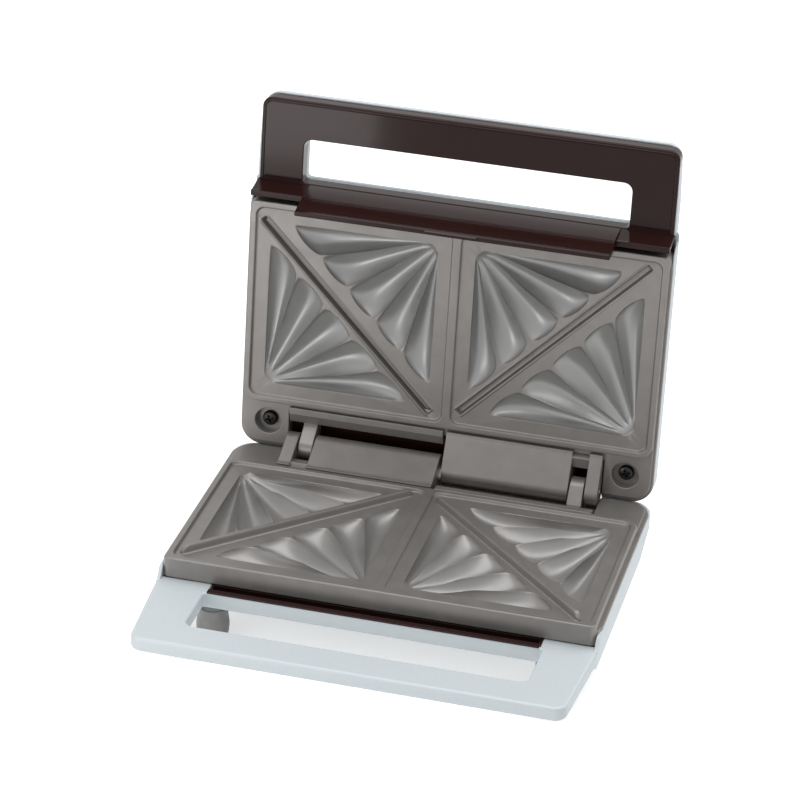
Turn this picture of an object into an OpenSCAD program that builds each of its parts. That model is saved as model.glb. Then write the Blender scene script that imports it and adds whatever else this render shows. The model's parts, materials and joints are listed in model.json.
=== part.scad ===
// Sandwich toaster with a hinged lid, shown open.
// Both halves are drawn in one "half" frame: X across, Y back from the plate's front edge,
// Z = 0 on the plate's rim and negative into that half's own casing.
// The lid's half is turned over about Y, lifted by the closed gap and opened about the hinge.

/* [Plates] */
// Width of each cooking plate
plate_w = 240; // [215:1:270]
// Depth of the walled field of each plate, from its front edge
field_d = 122; // [108:1:140]
// Height of a plate, from its rim to the foot of its skirt
plate_t = 12; // [11:0.5:16]
// Width of the rim round the compartments
rim_w = 3.6; // [3:0.1:6]
// Width of the bar between the two compartments
divider_w = 5; // [4:0.5:9]
// Depth of the compartments' floor below the rim
recess = 1.8; // [1.2:0.1:2.4]
// Wall of a plate's skirt and of the skin over its hollow side
cast_wall = 3.4; // [2.6:0.1:4]
// Radius of the compartments' corners
field_r = 5; // [3:0.5:8]

/* [Shell pockets] */
// Depth of a pocket below the compartment's floor
pocket_d = 7.2; // [4:0.1:7.4]
// Flutes that spread from a pocket's right-angled corner
flutes = 5; // [3:1:7]
// Land between a pocket and the walls beside its right angle
leg_land = 8; // [6:0.5:11]
// Land between a pocket and the blade on the diagonal
blade_land = 11; // [9:0.5:15]
// How far the round end of a flute reaches past its neighbours' creases
flute_bulge = 4.5; // [2:0.5:6]
// Height of the lower plate's blades above its rim
blade_h = 2.4; // [1:0.1:2.8]
// Width of a blade at its foot
blade_w = 5; // [4:0.5:7]
// Width of a blade at its edge
blade_edge = 1.2; // [0.8:0.1:2]

/* [Hinge] */
// Distance of the hinge axis behind the walled field
hinge_back = 24.4; // [22:0.2:28]
// Radius of the cast knuckles
knuckle_r = 8; // [7:0.25:8.5]
// Distance from the middle to the outer end of a knuckle
hinge_half_w = 92; // [80:1:97]
// Width of the lug that carries the other half's pin
lug_w = 8.4; // [6:0.2:12]
// Width of the knuckle outside the lug
end_knuckle_w = 7.6; // [5:0.2:10]
// Diameter of the hinge pins
pin_d = 5; // [4:0.25:6]
// Length of each hinge pin
pin_l = 34; // [30:1:60]
// Gap between the rims of the closed plates
closed_gap = 0.4; // [0.3:0.1:1]
// Angle between the closed and the open lid
open_angle = 94; // [92:1:98]

/* [Casings] */
// Gap between a plate's side and the casing's wall
plate_gap = 0.5; // [0.4:0.1:1.5]
// Wall thickness of the casings
wall = 2; // [1.6:0.1:2.6]
// Depth of a casing below its plate's rim
belly = 38; // [35:1:50]
// Distance of the casings' edge below the plate's rim
edge_drop = 6; // [5:0.5:7]
// Distance of the crease along the casings' sides below the rim
crease_drop = 15.5; // [14:0.5:20]
// How much the sides lean in from the crease to the bottom
side_lean = 3.5; // [1:0.5:6]
// Crown of the lid's outer face
lid_crown = 1.6; // [0.8:0.2:3]
// Height of the feet below the base
foot_h = 16; // [12:1:24]
// Largest diameter of a foot
foot_d = 18.4; // [15:0.2:22]

/* [Handles] */
// Reach of the base's handle in front of the plates
base_reach = 66; // [58:1:80]
// Thickness of the base's handle
base_handle_t = 8.5; // [7:0.5:11]
// Reach of the lid's handle in front of the plates
lid_reach = 60; // [54:1:74]
// Thickness of the lid's handle casing
lid_handle_t = 12.5; // [10:0.5:15]
// Half of the width of the handles' windows
window_half_w = 93.8; // [80:0.2:96]
// Width of the base handle's front bar
base_bar = 21; // [16:0.5:26]
// Width of the lid handle's front bar
lid_bar = 24.5; // [20:0.5:28]
// Length of the skirt below the lid's handle lining
skirt_h = 31; // [24:0.5:31.5]
// Wall of the two brown linings
liner_wall = 1.8; // [1.5:0.1:2.4]

/* [Inside] */
// Diameter of the heating tubes
tube_d = 6.5; // [5:0.5:8]
// Radius of the heating tubes' bends
tube_bend = 12; // [9:1:16]
// Thickness of the reflector sheets
sheet_t = 0.8; // [0.5:0.1:1.2]
// Diameter of the assembly screws' shanks
screw_d = 3.5; // [3:0.1:4]
// Diameter of the two lamp lenses
lens_d = 8.8; // [6:0.2:11]

/* [Hidden] */
$fn = 48;
eps = 0.01;
fit = 0.3;
pin_fit = 0.05;
run_gap = 0.6;

hinge_y = field_d + hinge_back;
hinge_z = closed_gap / 2;
strip_y = field_d + 5.4;
strip_end = field_d + 11;
ear_back = hinge_y + 2;
ear_drop = 3.4;
ear_y = field_d + 13;
ear_x = plate_w / 2 - 15;
knuckle_in = 1;
pocket_edge = 0.4;
comp_w = (plate_w - divider_w) / 2 - rim_w;
comp_d = field_d - 2 * rim_w;
diag = sqrt(comp_w * comp_w + comp_d * comp_d);
leg_a = comp_w - leg_land - leg_land * comp_w / comp_d - blade_land * diag / comp_d;
leg_b = comp_d - leg_land - leg_land * comp_d / comp_w - blade_land * diag / comp_w;

half_w = plate_w / 2 + plate_gap + wall;
base_back = ear_back + 6.6;
lid_back = ear_back + 3.2;
base_deck = plate_t + 0.5;
lid_deck = plate_t + 2.5;
front_y = -10;
gutter_half_w = window_half_w - 1.5;
gutter_back = 1.6;
gutter_t = 1.4;
lip_t = 1.7;
skirt_half_w = gutter_half_w - 2.8;
liner_back = ear_back + 0.1;
liner_half_w = plate_w / 2 + plate_gap - fit;
boss_x = plate_w / 2 - 7;
boss_ys = [30, field_d - 24];
slope_y = 20;
control_y = field_d / 2 + 1;
bracket_half = 15;
catch_half_w = 15;
foot_x = plate_w / 2 - 25;
foot_front_y = 13;
foot_rear_y = field_d + 6;
foot_top = 5;
foot_neck_r = foot_d / 2 - 0.8;
disc_d = foot_d - 5.4;
disc_t = 1.2;
pad_t = 2;
collar_x = -70;
collar_z = -25;
cord_d = 8.5;
seam_z = belly + foot_h;
open_back = hinge_y + (slope_y - hinge_y) * cos(open_angle)
    + (belly + lid_crown + hinge_z) * sin(open_angle);
origin_y = (base_reach - open_back) / 2;
tube_x = comp_w * 0.75;
tube_front = 16;
tube_back = field_d - 14;
tube_z = -plate_t - tube_d / 2;
reflector_z = -plate_t - 12;
lens_x = 14;
lens_y = 30;

cast_colour = [0.47, 0.45, 0.43];
silver_colour = [0.76, 0.79, 0.81];
brown_colour = [0.16, 0.11, 0.10];
steel_colour = [0.72, 0.72, 0.73];

// ---- outlines ----------------------------------------------------------------------------

function unit(v) = v / norm(v);

// Points of one rounded corner at b, on the way from a to c
function corner(a, b, c, r, n) =
    let (u = unit(a - b), w = unit(c - b), half = acos(u * w) / 2, sweep = 180 - 2 * half)
    let (centre = b + unit(u + w) * r / sin(half), from = b + u * r / tan(half) - centre,
         to = b + w * r / tan(half) - centre)
    [for (i = [0 : n]) centre + (from * sin((1 - i / n) * sweep) + to * sin(i / n * sweep)) / sin(sweep)];

// A polygon's points with each corner rounded by its own radius
function rounded(ps, rs, n = 5) =
    let (m = len(ps))
    [for (i = [0 : m - 1])
        each (rs[i] == 0 ? [ps[i]] : corner(ps[(i + m - 1) % m], ps[i], ps[(i + 1) % m], rs[i], n))];

module plan(ps, rs, z0, z1) {
    translate([0, 0, z0]) linear_extrude(z1 - z0) polygon(rounded(ps, rs));
}

module slab(x0, x1, y0, y1, z0, z1, r = 0) {
    plan([[x0, y0], [x1, y0], [x1, y1], [x0, y1]], [r, r, r, r], z0, z1);
}

// A profile in Y and Z, drawn out along X
module along_x(x0, x1, ps, rs) {
    translate([x0, 0, 0]) rotate([90, 0, 90]) linear_extrude(x1 - x0) polygon(rounded(ps, rs));
}

// A profile in X and Z, drawn out along Y
module along_y(y0, y1, ps, rs) {
    translate([0, y1, 0]) rotate([90, 0, 0]) linear_extrude(y1 - y0) polygon(rounded(ps, rs));
}

module post(x, y, z0, z1, d) {
    translate([x, y, z0]) cylinder(h = z1 - z0, d = d);
}

module rod_x(x0, x1, y, z, r) {
    translate([x0, y, z]) rotate([0, 90, 0]) cylinder(h = x1 - x0, r = r);
}

module both_sides() {
    children();
    mirror([1, 0, 0]) children();
}

// ---- placing the two halves --------------------------------------------------------------

module in_base() {
    translate([0, origin_y, seam_z]) children();
}

module in_lid() {
    translate([0, origin_y, seam_z]) translate([0, hinge_y, hinge_z]) rotate([-open_angle, 0, 0])
        translate([0, -hinge_y, -hinge_z]) translate([0, 0, closed_gap]) rotate([0, 180, 0]) children();
}

// ---- plates ------------------------------------------------------------------------------

ring_at = [0.07, 0.25, 0.45, 0.62, 0.74, 0.84, 0.92, 0.97, 1];
ray_n = flutes * 6;
deep_at = 0.72;

// Outline of the flutes' ends, t from one leg of the pocket to the other
function fan(t) = [leg_a * (1 - t), leg_b * t]
    + unit([leg_b, leg_a]) * flute_bulge * pow(abs(sin(180 * flutes * t)), 0.7);

// Depth along a flute: it falls from the corner to the deepest ring and then turns up steeply
function fall(s) = s < deep_at
    ? 0.4 + 0.6 * sin(90 * s / deep_at)
    : sqrt(max(0, 1 - pow((s - deep_at) / (1 - deep_at), 2)));

// Depth across a flute: round between creases, with a steep wall beside each leg
function across(s, t) =
    let (k = min(floor(t * flutes), flutes - 1), f = t * flutes - k, v = abs(2 * f - 1))
    (k == 0 && f < 0.5) || (k == flutes - 1 && f > 0.5)
        ? 1 - pow(v, 4)
        : 1 - (0.25 + 0.7 * s * s) * v * v;

function pocket_depth(s, t) = max(pocket_edge, pocket_d * fall(s) * across(s, t));

// The solid that a pocket takes out of the plate, from its right-angled corner at the origin
module pocket_cut() {
    m = len(ring_at) - 1;
    row = ray_n + 1;
    n0 = len(ring_at) * row;
    floor_pts = [for (s = ring_at, j = [0 : ray_n])
        let (t = j / ray_n, p = fan(t) * s) [p[0], p[1], -pocket_depth(s, t)]];
    top_pts = [for (s = [ring_at[0], 1], j = [0 : ray_n])
        let (p = fan(j / ray_n) * s) [p[0], p[1], recess + 1]];
    floor_faces = [for (i = [0 : m - 1], j = [0 : ray_n - 1])
        let (a = i * row + j)
        each [[a, a + row + 1, a + 1], [a, a + row, a + row + 1]]];
    ring_faces = [for (j = [0 : ray_n - 1])
        let (f = m * row + j, u = n0 + j, v = n0 + row + j)
        each [[u, u + 1, v + 1], [u, v + 1, v], [j + 1, u + 1, u], [j + 1, u, j],
            [f, v, v + 1], [f, v + 1, f + 1]]];
    u0 = n0 + row;
    u1 = n0 + row + ray_n;
    leg_faces = [for (i = [0 : m - 1])
        let (f = i * row)
        each [[u0, f + row, f], [u1, f + ray_n, f + row + ray_n]]];
    polyhedron(concat(floor_pts, top_pts),
        concat(floor_faces, ring_faces, leg_faces, [[u0, 0, n0], [u1, n0 + ray_n, ray_n]]));
}

// Puts a pocket's right angle in the front inner and in the back outer corner of a compartment
module at_pockets() {
    x0 = divider_w / 2;
    both_sides() {
        translate([x0 + leg_land, rim_w + leg_land, 0]) children();
        translate([x0 + comp_w - leg_land, rim_w + comp_d - leg_land, 0]) rotate([0, 0, 180])
            children();
    }
}

// Runs its child, drawn along +X from 0 to diag, from the back middle to the front corner
module on_diagonals() {
    both_sides() translate([divider_w / 2, rim_w + comp_d, 0])
        rotate([0, 0, -atan(comp_d / comp_w)]) children();
}

module blade() {
    end = 7;
    z0 = -recess - eps;
    along_x(end, diag - end, [[-blade_w / 2, z0], [blade_w / 2, z0], [blade_edge / 2, blade_h],
        [-blade_edge / 2, blade_h]], [0, 0, 0, 0]);
}

groove_w = blade_edge + 2.2;
groove_z = -recess - 1.7;
bead_w = 1.1;

module blade_groove() {
    along_x(2, diag - 2, [[-groove_w / 2, -recess + 2], [-groove_w / 2, -recess], [-groove_w / 2 + 0.6, groove_z],
        [groove_w / 2 - 0.6, groove_z], [groove_w / 2, -recess], [groove_w / 2, -recess + 2]],
        [0, 0, 0, 0, 0, 0]);
}

module groove_beads() {
    for (side = [-1, 1])
        along_x(6, diag - 6, [[side * groove_w / 2, -recess - eps], [side * (groove_w / 2 + bead_w), -recess - eps],
            [side * (groove_w / 2 + bead_w * 0.7), -recess + 0.7], [side * groove_w / 2, -recess + 0.7]],
            [0, 0, 0, 0]);
}

// Where the line from point p touches the knuckle's circle on its rim side
function touch(p, r) =
    let (d = [hinge_y, hinge_z] - p, l = norm(d), lean = asin(r / l) + atan2(d[1], d[0]))
    p + sqrt(l * l - r * r) * [cos(lean), sin(lean)];

barrel_p = [strip_y, 0];
barrel_t = touch(barrel_p, knuckle_r);
slope = (barrel_t[1] - barrel_p[1]) / (barrel_t[0] - barrel_p[0]);
strip_end_z = -closed_gap - run_gap - slope * (strip_end - strip_y);
lug_r = knuckle_r - 0.6;
lug_p = [strip_end + 1.2, strip_end_z];
lug_t = touch(lug_p, lug_r);

// Knuckle and the block that joins it to the plate
module barrel(x0, x1) {
    along_x(x0, x1, [[strip_y - 2, -plate_t], [strip_y - 2, -ear_drop], [strip_y, -ear_drop], barrel_p,
        barrel_t, [hinge_y, hinge_z], [hinge_y, hinge_z - knuckle_r], [hinge_y - 5, -plate_t]],
        [0, 0, 0, 0, 0, 0, 0, 0]);
    rod_x(x0, x1, hinge_y, hinge_z, knuckle_r);
}

module lug(x0, x1) {
    along_x(x0, x1, [[strip_end - 3, -plate_t], [strip_end - 3, strip_end_z], lug_p, lug_t,
        [hinge_y, hinge_z], [hinge_y, hinge_z - lug_r], [hinge_y - 5, -plate_t]], [0, 0, 0, 0, 0, 0, 0]);
    rod_x(x0, x1, hinge_y, hinge_z, lug_r);
}

slot_x0 = hinge_half_w - end_knuckle_w - lug_w - 2 * run_gap;
slot_x1 = hinge_half_w - end_knuckle_w;
lug_x0 = slot_x0 + run_gap;

// Edge of the plate that the other half's barrel closes over, and the lug on it
module strip() {
    along_x(knuckle_in, hinge_half_w, [[field_d - 2, -plate_t], [field_d - 2, -ear_drop],
        [strip_y, -ear_drop], [strip_y, -closed_gap - run_gap], [strip_end, strip_end_z],
        [strip_end, -plate_t]], [0, 0, 0, 0, 0, 0]);
    lug(lug_x0, lug_x0 + lug_w);
}

// Flat pads under the pockets that carry the heating tube
module pocket_pads() {
    spread = 3;
    at_pockets()
        plan([[-spread, -spread], [leg_a + spread, -spread], [leg_a + spread, spread],
            [spread, leg_b + spread], [-spread, leg_b + spread]], [4, 2, 2, 2, 2], -plate_t, -recess - 1);
}

module clip_places() {
    translate([0, tube_front, 0]) rotate([0, 0, 90]) children();
    both_sides() translate([tube_x, tube_leg_y, 0]) children();
}

tube_leg_y = rim_w + comp_d - tube_x * comp_d / comp_w;
clip_reach = 8;

// One casting. The upper plate is the same but for grooves, screw ears and its fixings.
module plate(upper) {
    hw = plate_w / 2;
    skin = recess + cast_wall;
    color(cast_colour) difference() {
        union() {
            difference() {
                union() {
                    plan([[-hw, 0], [hw, 0], [hw, field_d], [-hw, field_d]], [3, 3, 9, 9], -plate_t, 0);
                    for (side = [-1, 1])
                        plan([[side * hw, field_d - 20], [side * hw, ear_back],
                            [side * (hinge_half_w + run_gap), ear_back],
                            [side * (hinge_half_w + run_gap), field_d - 20]], [0, 10, 1.5, 0],
                            -plate_t, -ear_drop);
                    slab(-hinge_half_w - run_gap - eps, hinge_half_w + run_gap + eps, field_d - 9,
                        strip_y, -plate_t, -ear_drop);
                }
                slab(-hw + cast_wall, hw - cast_wall, cast_wall, field_d - cast_wall,
                    -plate_t - 1, -skin, 2);
            }
            pocket_pads();
            clip_places() post(clip_reach, 0, -plate_t, -skin + eps, 8);
            post(0, control_y, -plate_t, -skin + eps, 17);
            for (side = [-1, 1])
                post(0, control_y + side * bracket_half, -plate_t, -skin + eps, 7);
            both_sides() post(plate_w / 2 - 6, 8, -plate_t, -skin + eps, 8);
            if (!upper) both_sides() post(plate_w / 2 - 6, field_d - 8, -plate_t, -skin + eps, 8);
            strip();
            difference() {
                barrel(-hinge_half_w, -knuckle_in);
                slab(-slot_x1, -slot_x0, strip_end + 0.5, hinge_y + knuckle_r + 1, -plate_t - 1,
                    knuckle_r + 2);
            }
        }
        both_sides() slab(divider_w / 2, divider_w / 2 + comp_w, rim_w, rim_w + comp_d,
            -recess, 1, field_r);
        translate([0, 0, -recess]) at_pockets() pocket_cut();
        if (upper) on_diagonals() blade_groove();
        rod_x(-hinge_half_w - 1, -slot_x1 + 1, hinge_y, hinge_z, pin_d / 2);
        rod_x(-slot_x0 - 1, -hinge_half_w + pin_l, hinge_y, hinge_z, pin_d / 2);
        rod_x(lug_x0 - 1, lug_x0 + lug_w + 1, hinge_y, hinge_z, pin_d / 2 + pin_fit);
        clip_places() post(clip_reach, 0, -plate_t - 1, -plate_t + 5, screw_d - 0.9);
        for (side = [-1, 1])
            post(0, control_y + side * bracket_half, -plate_t - 1, -plate_t + 5, screw_d - 0.9);
        both_sides() post(plate_w / 2 - 6, 8, -plate_t - 1, -plate_t + 6, screw_d - 0.9);
        if (!upper)
            both_sides() post(plate_w / 2 - 6, field_d - 8, -plate_t - 1, -plate_t + 6, screw_d - 0.9);
        if (upper) both_sides() {
            post(ear_x, ear_y, -plate_t + 3, 1, 15.5);
            post(ear_x, ear_y, -plate_t - 1, -plate_t + 4, screw_d + 0.8);
        }
    }
    if (!upper) color(cast_colour) on_diagonals() blade();
    if (upper) color(cast_colour) on_diagonals() groove_beads();
}

module lower_plate() { in_base() plate(false); }

module upper_plate() { in_lid() plate(true); }

// ---- heating and its control -------------------------------------------------------------

module bend(x, y, turn) {
    translate([x, y, tube_z]) rotate([0, 0, turn]) rotate_extrude(angle = 90)
        translate([tube_bend, 0]) circle(d = tube_d);
}

module tube_run(x, y, turn, l) {
    translate([x, y, tube_z]) rotate([0, 0, turn]) rotate([0, 90, 0]) cylinder(h = l, d = tube_d);
}

module element() {
    inner = tube_x - tube_bend;
    tail = 38;
    color(steel_colour) {
        tube_run(-inner, tube_front, 0, 2 * inner);
        both_sides() {
            bend(inner, tube_front + tube_bend, -90);
            tube_run(tube_x, tube_front + tube_bend, 90, tube_back - tube_front - 2 * tube_bend);
            bend(inner, tube_back - tube_bend, 0);
            tube_run(tail, tube_back, 0, inner - tail);
            translate([tail - 9, tube_back, tube_z]) rotate([0, 90, 0]) cylinder(h = 9 + eps, d = 3);
            slab(tail - 17, tail - 8, tube_back - 3.1, tube_back + 3.1, tube_z - 0.4, tube_z + 0.4);
        }
    }
}

// Strap over the tube with one screwed foot and one plain foot
module clip() {
    strap = 0.9;
    r = tube_d / 2 + 0.05;
    translate([0, 4, 0]) rotate([90, 0, 0]) linear_extrude(8) difference() {
        union() {
            translate([0, tube_z]) circle(r = r + strap);
            translate([-r - strap, tube_z]) square([2 * (r + strap), -plate_t - tube_z]);
            translate([-r - 4, -plate_t - strap]) square([clip_reach + 4 + r + 4, strap]);
        }
        translate([0, tube_z]) circle(r = r);
        translate([-r, tube_z]) square([2 * r, 20]);
    }
}

module clips() {
    color(steel_colour) clip_places() difference() {
        clip();
        post(clip_reach, 0, -plate_t - 3, -plate_t + 1, screw_d + 0.4);
    }
}

// Pan-head screw, head down, with the seat of its head at the origin
module screw(l, head_d = 6.4, head_h = 2.2) {
    translate([0, 0, -head_h]) difference() {
        cylinder(h = head_h, d = head_d);
        for (turn = [0, 90])
            rotate([0, 0, turn]) translate([-head_d * 0.32, -0.45, -1]) cube([head_d * 0.64, 0.9, 2.2]);
    }
    cylinder(h = l, d = screw_d - 0.95);
}

module clip_screws() {
    color(steel_colour) clip_places() translate([clip_reach, 0, -plate_t - 0.9]) screw(5.5, 6);
}

// Bright pan hung under the lining's rib
module reflector() {
    x1 = liner_half_w - 13.5;
    y0 = 8;
    y1 = field_d - 4;
    rim = 1.5;
    color([0.86, 0.86, 0.85]) difference() {
        union() {
            slab(-x1, x1, y0, y1, reflector_z, reflector_z + 4, 6);
            slab(-x1 - rim, x1 + rim, y0 - rim, y1 + rim, reflector_z + 4 - sheet_t, reflector_z + 4, 7);
        }
        slab(-x1 + sheet_t, x1 - sheet_t, y0 + sheet_t, y1 - sheet_t, reflector_z + sheet_t,
            reflector_z + 5, 5.2);
        both_sides() slab(tube_x - 20, tube_x - 8, y1 - 12, y1 - 4, reflector_z - 1, reflector_z + 2, 2);
    }
}

module lower_element() { in_base() element(); }

module upper_element() { in_lid() element(); }

module lower_element_clips() { in_base() clips(); }

module upper_element_clips() { in_lid() clips(); }

module lower_clip_screws() { in_base() clip_screws(); }

module upper_clip_screws() { in_lid() clip_screws(); }

module base_reflector() { in_base() reflector(); }

module lid_reflector() { in_lid() reflector(); }

module thermostat() {
    in_base() color([0.82, 0.80, 0.74]) {
        post(0, control_y, -plate_t - 6.5, -plate_t, 15);
        for (side = [-1, 1])
            slab(side * 7 - 3, side * 7 + 3, control_y - 1.5, control_y + 1.5, -plate_t - 8, -plate_t - 6.5 + eps);
    }
}

bracket_t = 1;

module thermostat_bracket() {
    in_base() color(steel_colour) difference() {
        union() {
            for (side = [-1, 1])
                slab(-5, 5, control_y + side * bracket_half - 4.5, control_y + side * bracket_half + 4.5, -plate_t - bracket_t, -plate_t, 1);
            difference() {
                slab(-5, 5, control_y - 13, control_y + 13, -plate_t - 5, -plate_t);
                post(0, control_y, -plate_t - 6, -plate_t + 1, 15.2);
                for (side = [-1, 1])
                    slab(-6, 6, control_y + side * 11.5 - 1.7, control_y + side * 11.5 + 1.7, -plate_t - 3.5,
                        -plate_t - bracket_t);
            }
        }
        for (side = [-1, 1])
            post(0, control_y + side * bracket_half, -plate_t - 6, -plate_t + 1, screw_d + 0.4);
    }
}

module thermostat_screws() {
    in_base() color(steel_colour) for (side = [-1, 1])
        translate([0, control_y + side * bracket_half, -plate_t - bracket_t]) screw(5, 6);
}

module thermal_fuse() {
    in_lid() color([0.9, 0.88, 0.8]) {
        rod_x(-16, 16, control_y, -plate_t - 3, 2.6);
        for (side = [-1, 1])
            rod_x(side * 20 - 5, side * 20 + 5, control_y, -plate_t - 3, 0.8);
    }
}

module fuse_clip() {
    in_lid() color(steel_colour) difference() {
        union() {
            slab(-5, 5, control_y - 20, control_y + 4, -plate_t - bracket_t, -plate_t, 1);
            rod_x(-5, 5, control_y, -plate_t - 3, 3.5);
        }
        rod_x(-6, 6, control_y, -plate_t - 3, 2.65);
        slab(-6, 6, control_y - 12, control_y + 8, -plate_t, -plate_t + 4);
        post(0, control_y - bracket_half, -plate_t - 6, -plate_t + 1, screw_d + 0.4);
    }
}

module terminal_block() {
    x0 = -66;
    floor_z = -belly + wall;
    in_base() color([0.92, 0.91, 0.88]) difference() {
        slab(x0, x0 + 34, field_d + 1, field_d + 16, floor_z, floor_z + 13, 1.5);
        for (i = [0 : 2]) {
            post(x0 + 6 + i * 11, field_d + 8.5, floor_z + 7, floor_z + 14, 6);
            translate([x0 + 6 + i * 11, field_d, floor_z + 6]) rotate([-90, 0, 0])
                cylinder(h = 18, d = 4);
        }
    }
}

// ---- casings -----------------------------------------------------------------------------

// Outer or inner form of a casing's body: plan, side profile and end profile met together.
// inset is 0 for the outside and the wall for the inside.
module body(back, deck, crown, inset) {
    w = half_w - inset;
    b = back - inset;
    low = belly - inset;
    top = inset > 0 ? 1 : -edge_drop;
    lip = inset > 0 ? -0.7 : -0.6;
    under = inset > 0 ? -deck - inset : -deck;
    hill = [for (i = [-4 : 4]) [-i / 4 * (w - side_lean - 6), -low - crown * (1 - i * i / 16)]];
    hill_r = [for (i = hill) 0];
    intersection() {
        plan([[-w, front_y + inset], [w, front_y + inset], [w, b], [-w, b]],
            [2, 2, 13 - inset, 13 - inset], -belly - crown - 1, 2);
        along_x(-half_w, half_w, [[front_y + inset, under], [front_y + inset, -deck - base_handle_t + inset],
            [slope_y + inset * 0.25, -low - crown], [b - 7, -low - crown], [b, -crease_drop - inset], [b, top],
            [lip, top], [lip, under]], [0, 0, 10, 9, 0, 0, 0, 0]);
        along_y(front_y, b, concat([[w, 2], [w, -crease_drop], [w - side_lean, -low]], hill,
            [[-w + side_lean, -low], [-w, -crease_drop], [-w, 2]]),
            concat([0, 0, 6], hill_r, [6, 0, 0]));
    }
}

// Plan of a handle from the body's front to its reach
function handle_plan(reach, w0, w1, inset) = [[-w0 + inset, -4], [-w1 + inset, -reach + inset],
    [w1 - inset, -reach + inset], [w0 - inset, -4]];

module window(back_y, front, z0, z1, grow = 0) {
    x = window_half_w + grow;
    plan([[-x, back_y + grow], [-x, -front - grow], [x, -front - grow], [x, back_y + grow]],
        [2.5, 5, 5, 2.5], z0, z1);
}

foot_seat = -belly + foot_top;

module base_shell() {
    z1 = -base_deck;
    z0 = z1 - base_handle_t;
    bar = base_reach - base_bar;
    in_base() color(silver_colour) difference() {
        union() {
            difference() {
                union() {
                    body(base_back, base_deck, 0, 0);
                    intersection() {
                        plan(handle_plan(base_reach, half_w - 0.4, half_w - 4.5, 0), [0, 7, 7, 0], z0, z1);
                        along_x(-half_w, half_w, [[-3, z0], [-3, z1], [-base_reach, z1],
                            [-base_reach, z0]], [0, 0, 2.6, 4.5]);
                    }
                }
                body(base_back, base_deck, 0, wall);
                difference() {
                    plan(handle_plan(base_reach, half_w - 0.4, half_w - 4.5, 2.6), [0, 5, 5, 0],
                        z0 - 1, z1 - 2.4);
                    window(front_y, bar, z0 - 2, z1, 2.4);
                    slab(-half_w, half_w, front_y - 0.01, 3, z0 - 2, z1);
                }
            }
            intersection() {
                body(base_back, base_deck, 0, 0);
                union() {
                    both_sides() post(foot_x, foot_front_y, -belly, foot_seat + 3, foot_d + 4);
                    both_sides() post(foot_x, foot_rear_y, -belly, foot_seat + 1, foot_d + 4);
                    both_sides() for (y = boss_ys)
                        post(boss_x, y, -belly, -belly + 5, 11);
                }
            }
            translate([collar_x, base_back - 0.5, collar_z]) rotate([90, 0, 0]) cylinder(h = 10, d = 15);
            both_sides() slab(hinge_half_w + 5, plate_w / 2 - 4, ear_back + 0.8, base_back - wall + 0.2,
                -crease_drop, stop_z);
        }
        window(front_y, bar, z0 - 1, z1 + 1);
        slab(-gutter_half_w, gutter_half_w, front_y - 1, 4, z1 - lip_t - 0.4, z1 + 1);
        slab(-gutter_half_w, gutter_half_w, front_y + wall - 0.2, 4, z1 - wall - 1, z1 + 1);
        slab(-hinge_half_w - 2, hinge_half_w + 2, base_back - 6, base_back + 1, -10, 1);
        both_sides() post(foot_x, foot_front_y, -belly - 1, foot_seat, 2 * foot_neck_r + 0.2);
        both_sides() post(foot_x, foot_rear_y, -belly - 1, -belly + 3.2, 2 * foot_neck_r + 0.2);
        both_sides() for (y = boss_ys) {
            post(boss_x, y, -belly - 1, -belly + 6, screw_d + 0.8);
            post(boss_x, y, -belly - 1, -belly + 2.4, 7);
        }
        translate([collar_x, base_back + 1, collar_z]) rotate([90, 0, 0]) cylinder(h = 14, d = cord_d);
        for (i = [-4 : 4])
            slab(i * 12 - 2, i * 12 + 2, 84, 106, -belly - 1, -belly + 3, 1.9);
    }
}

// Height of the pads that the open lid's back edge rests on
stop_z = hinge_z - (lid_back - hinge_y) * sin(open_angle)
    + (edge_drop + closed_gap - hinge_z) * cos(open_angle) - fit;

// Frame that carries a plate on a casing: flange, rib round its opening
module carrier(rib_z) {
    top = -plate_t;
    y1 = field_d - 4;
    difference() {
        union() {
            plan([[-liner_half_w, 3], [liner_half_w, 3], [liner_half_w, liner_back],
                [-liner_half_w, liner_back]], [3, 3, 12, 12], top - 3, top);
            slab(-liner_half_w + 12, liner_half_w - 12, 6, y1 + 2, rib_z, top - 1, 4);
        }
        slab(-liner_half_w + 14, liner_half_w - 14, 8, y1, rib_z - 1, top + 1, 3);
        both_sides() post(plate_w / 2 - 6, 8, top - 9, top + 1, screw_d + 0.5);
    }
}

// Trough that the lid's skirt drops into; its floor runs above the belly's front slope
module gutter() {
    top = -plate_t;
    k = (belly - base_deck - base_handle_t) / (slope_y - front_y - wall * 0.75);
    front = front_y + wall + fit;
    function under(y) = wall - base_deck - base_handle_t - k * (y - front_y - wall) + fit * 1.2;
    inner = gutter_back - gutter_t;
    along_x(-gutter_half_w + fit, gutter_half_w - fit, [[front_y - 0.2, -base_deck - lip_t],
        [front, -base_deck - lip_t], [front, under(front)], [gutter_back, under(gutter_back)],
        [gutter_back, top - 3], [4, top - 3], [4, top], [inner + 1.2, top], [inner, top - gutter_t],
        [inner, under(inner) + gutter_t], [front + gutter_t, under(front + gutter_t) + gutter_t],
        [front + gutter_t, -base_deck], [front_y - 0.2, -base_deck]],
        [0, 0, 0, 0, 0, 0, 0, 0, 0, 1, 1, 0.4, 0.4]);
}

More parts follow.
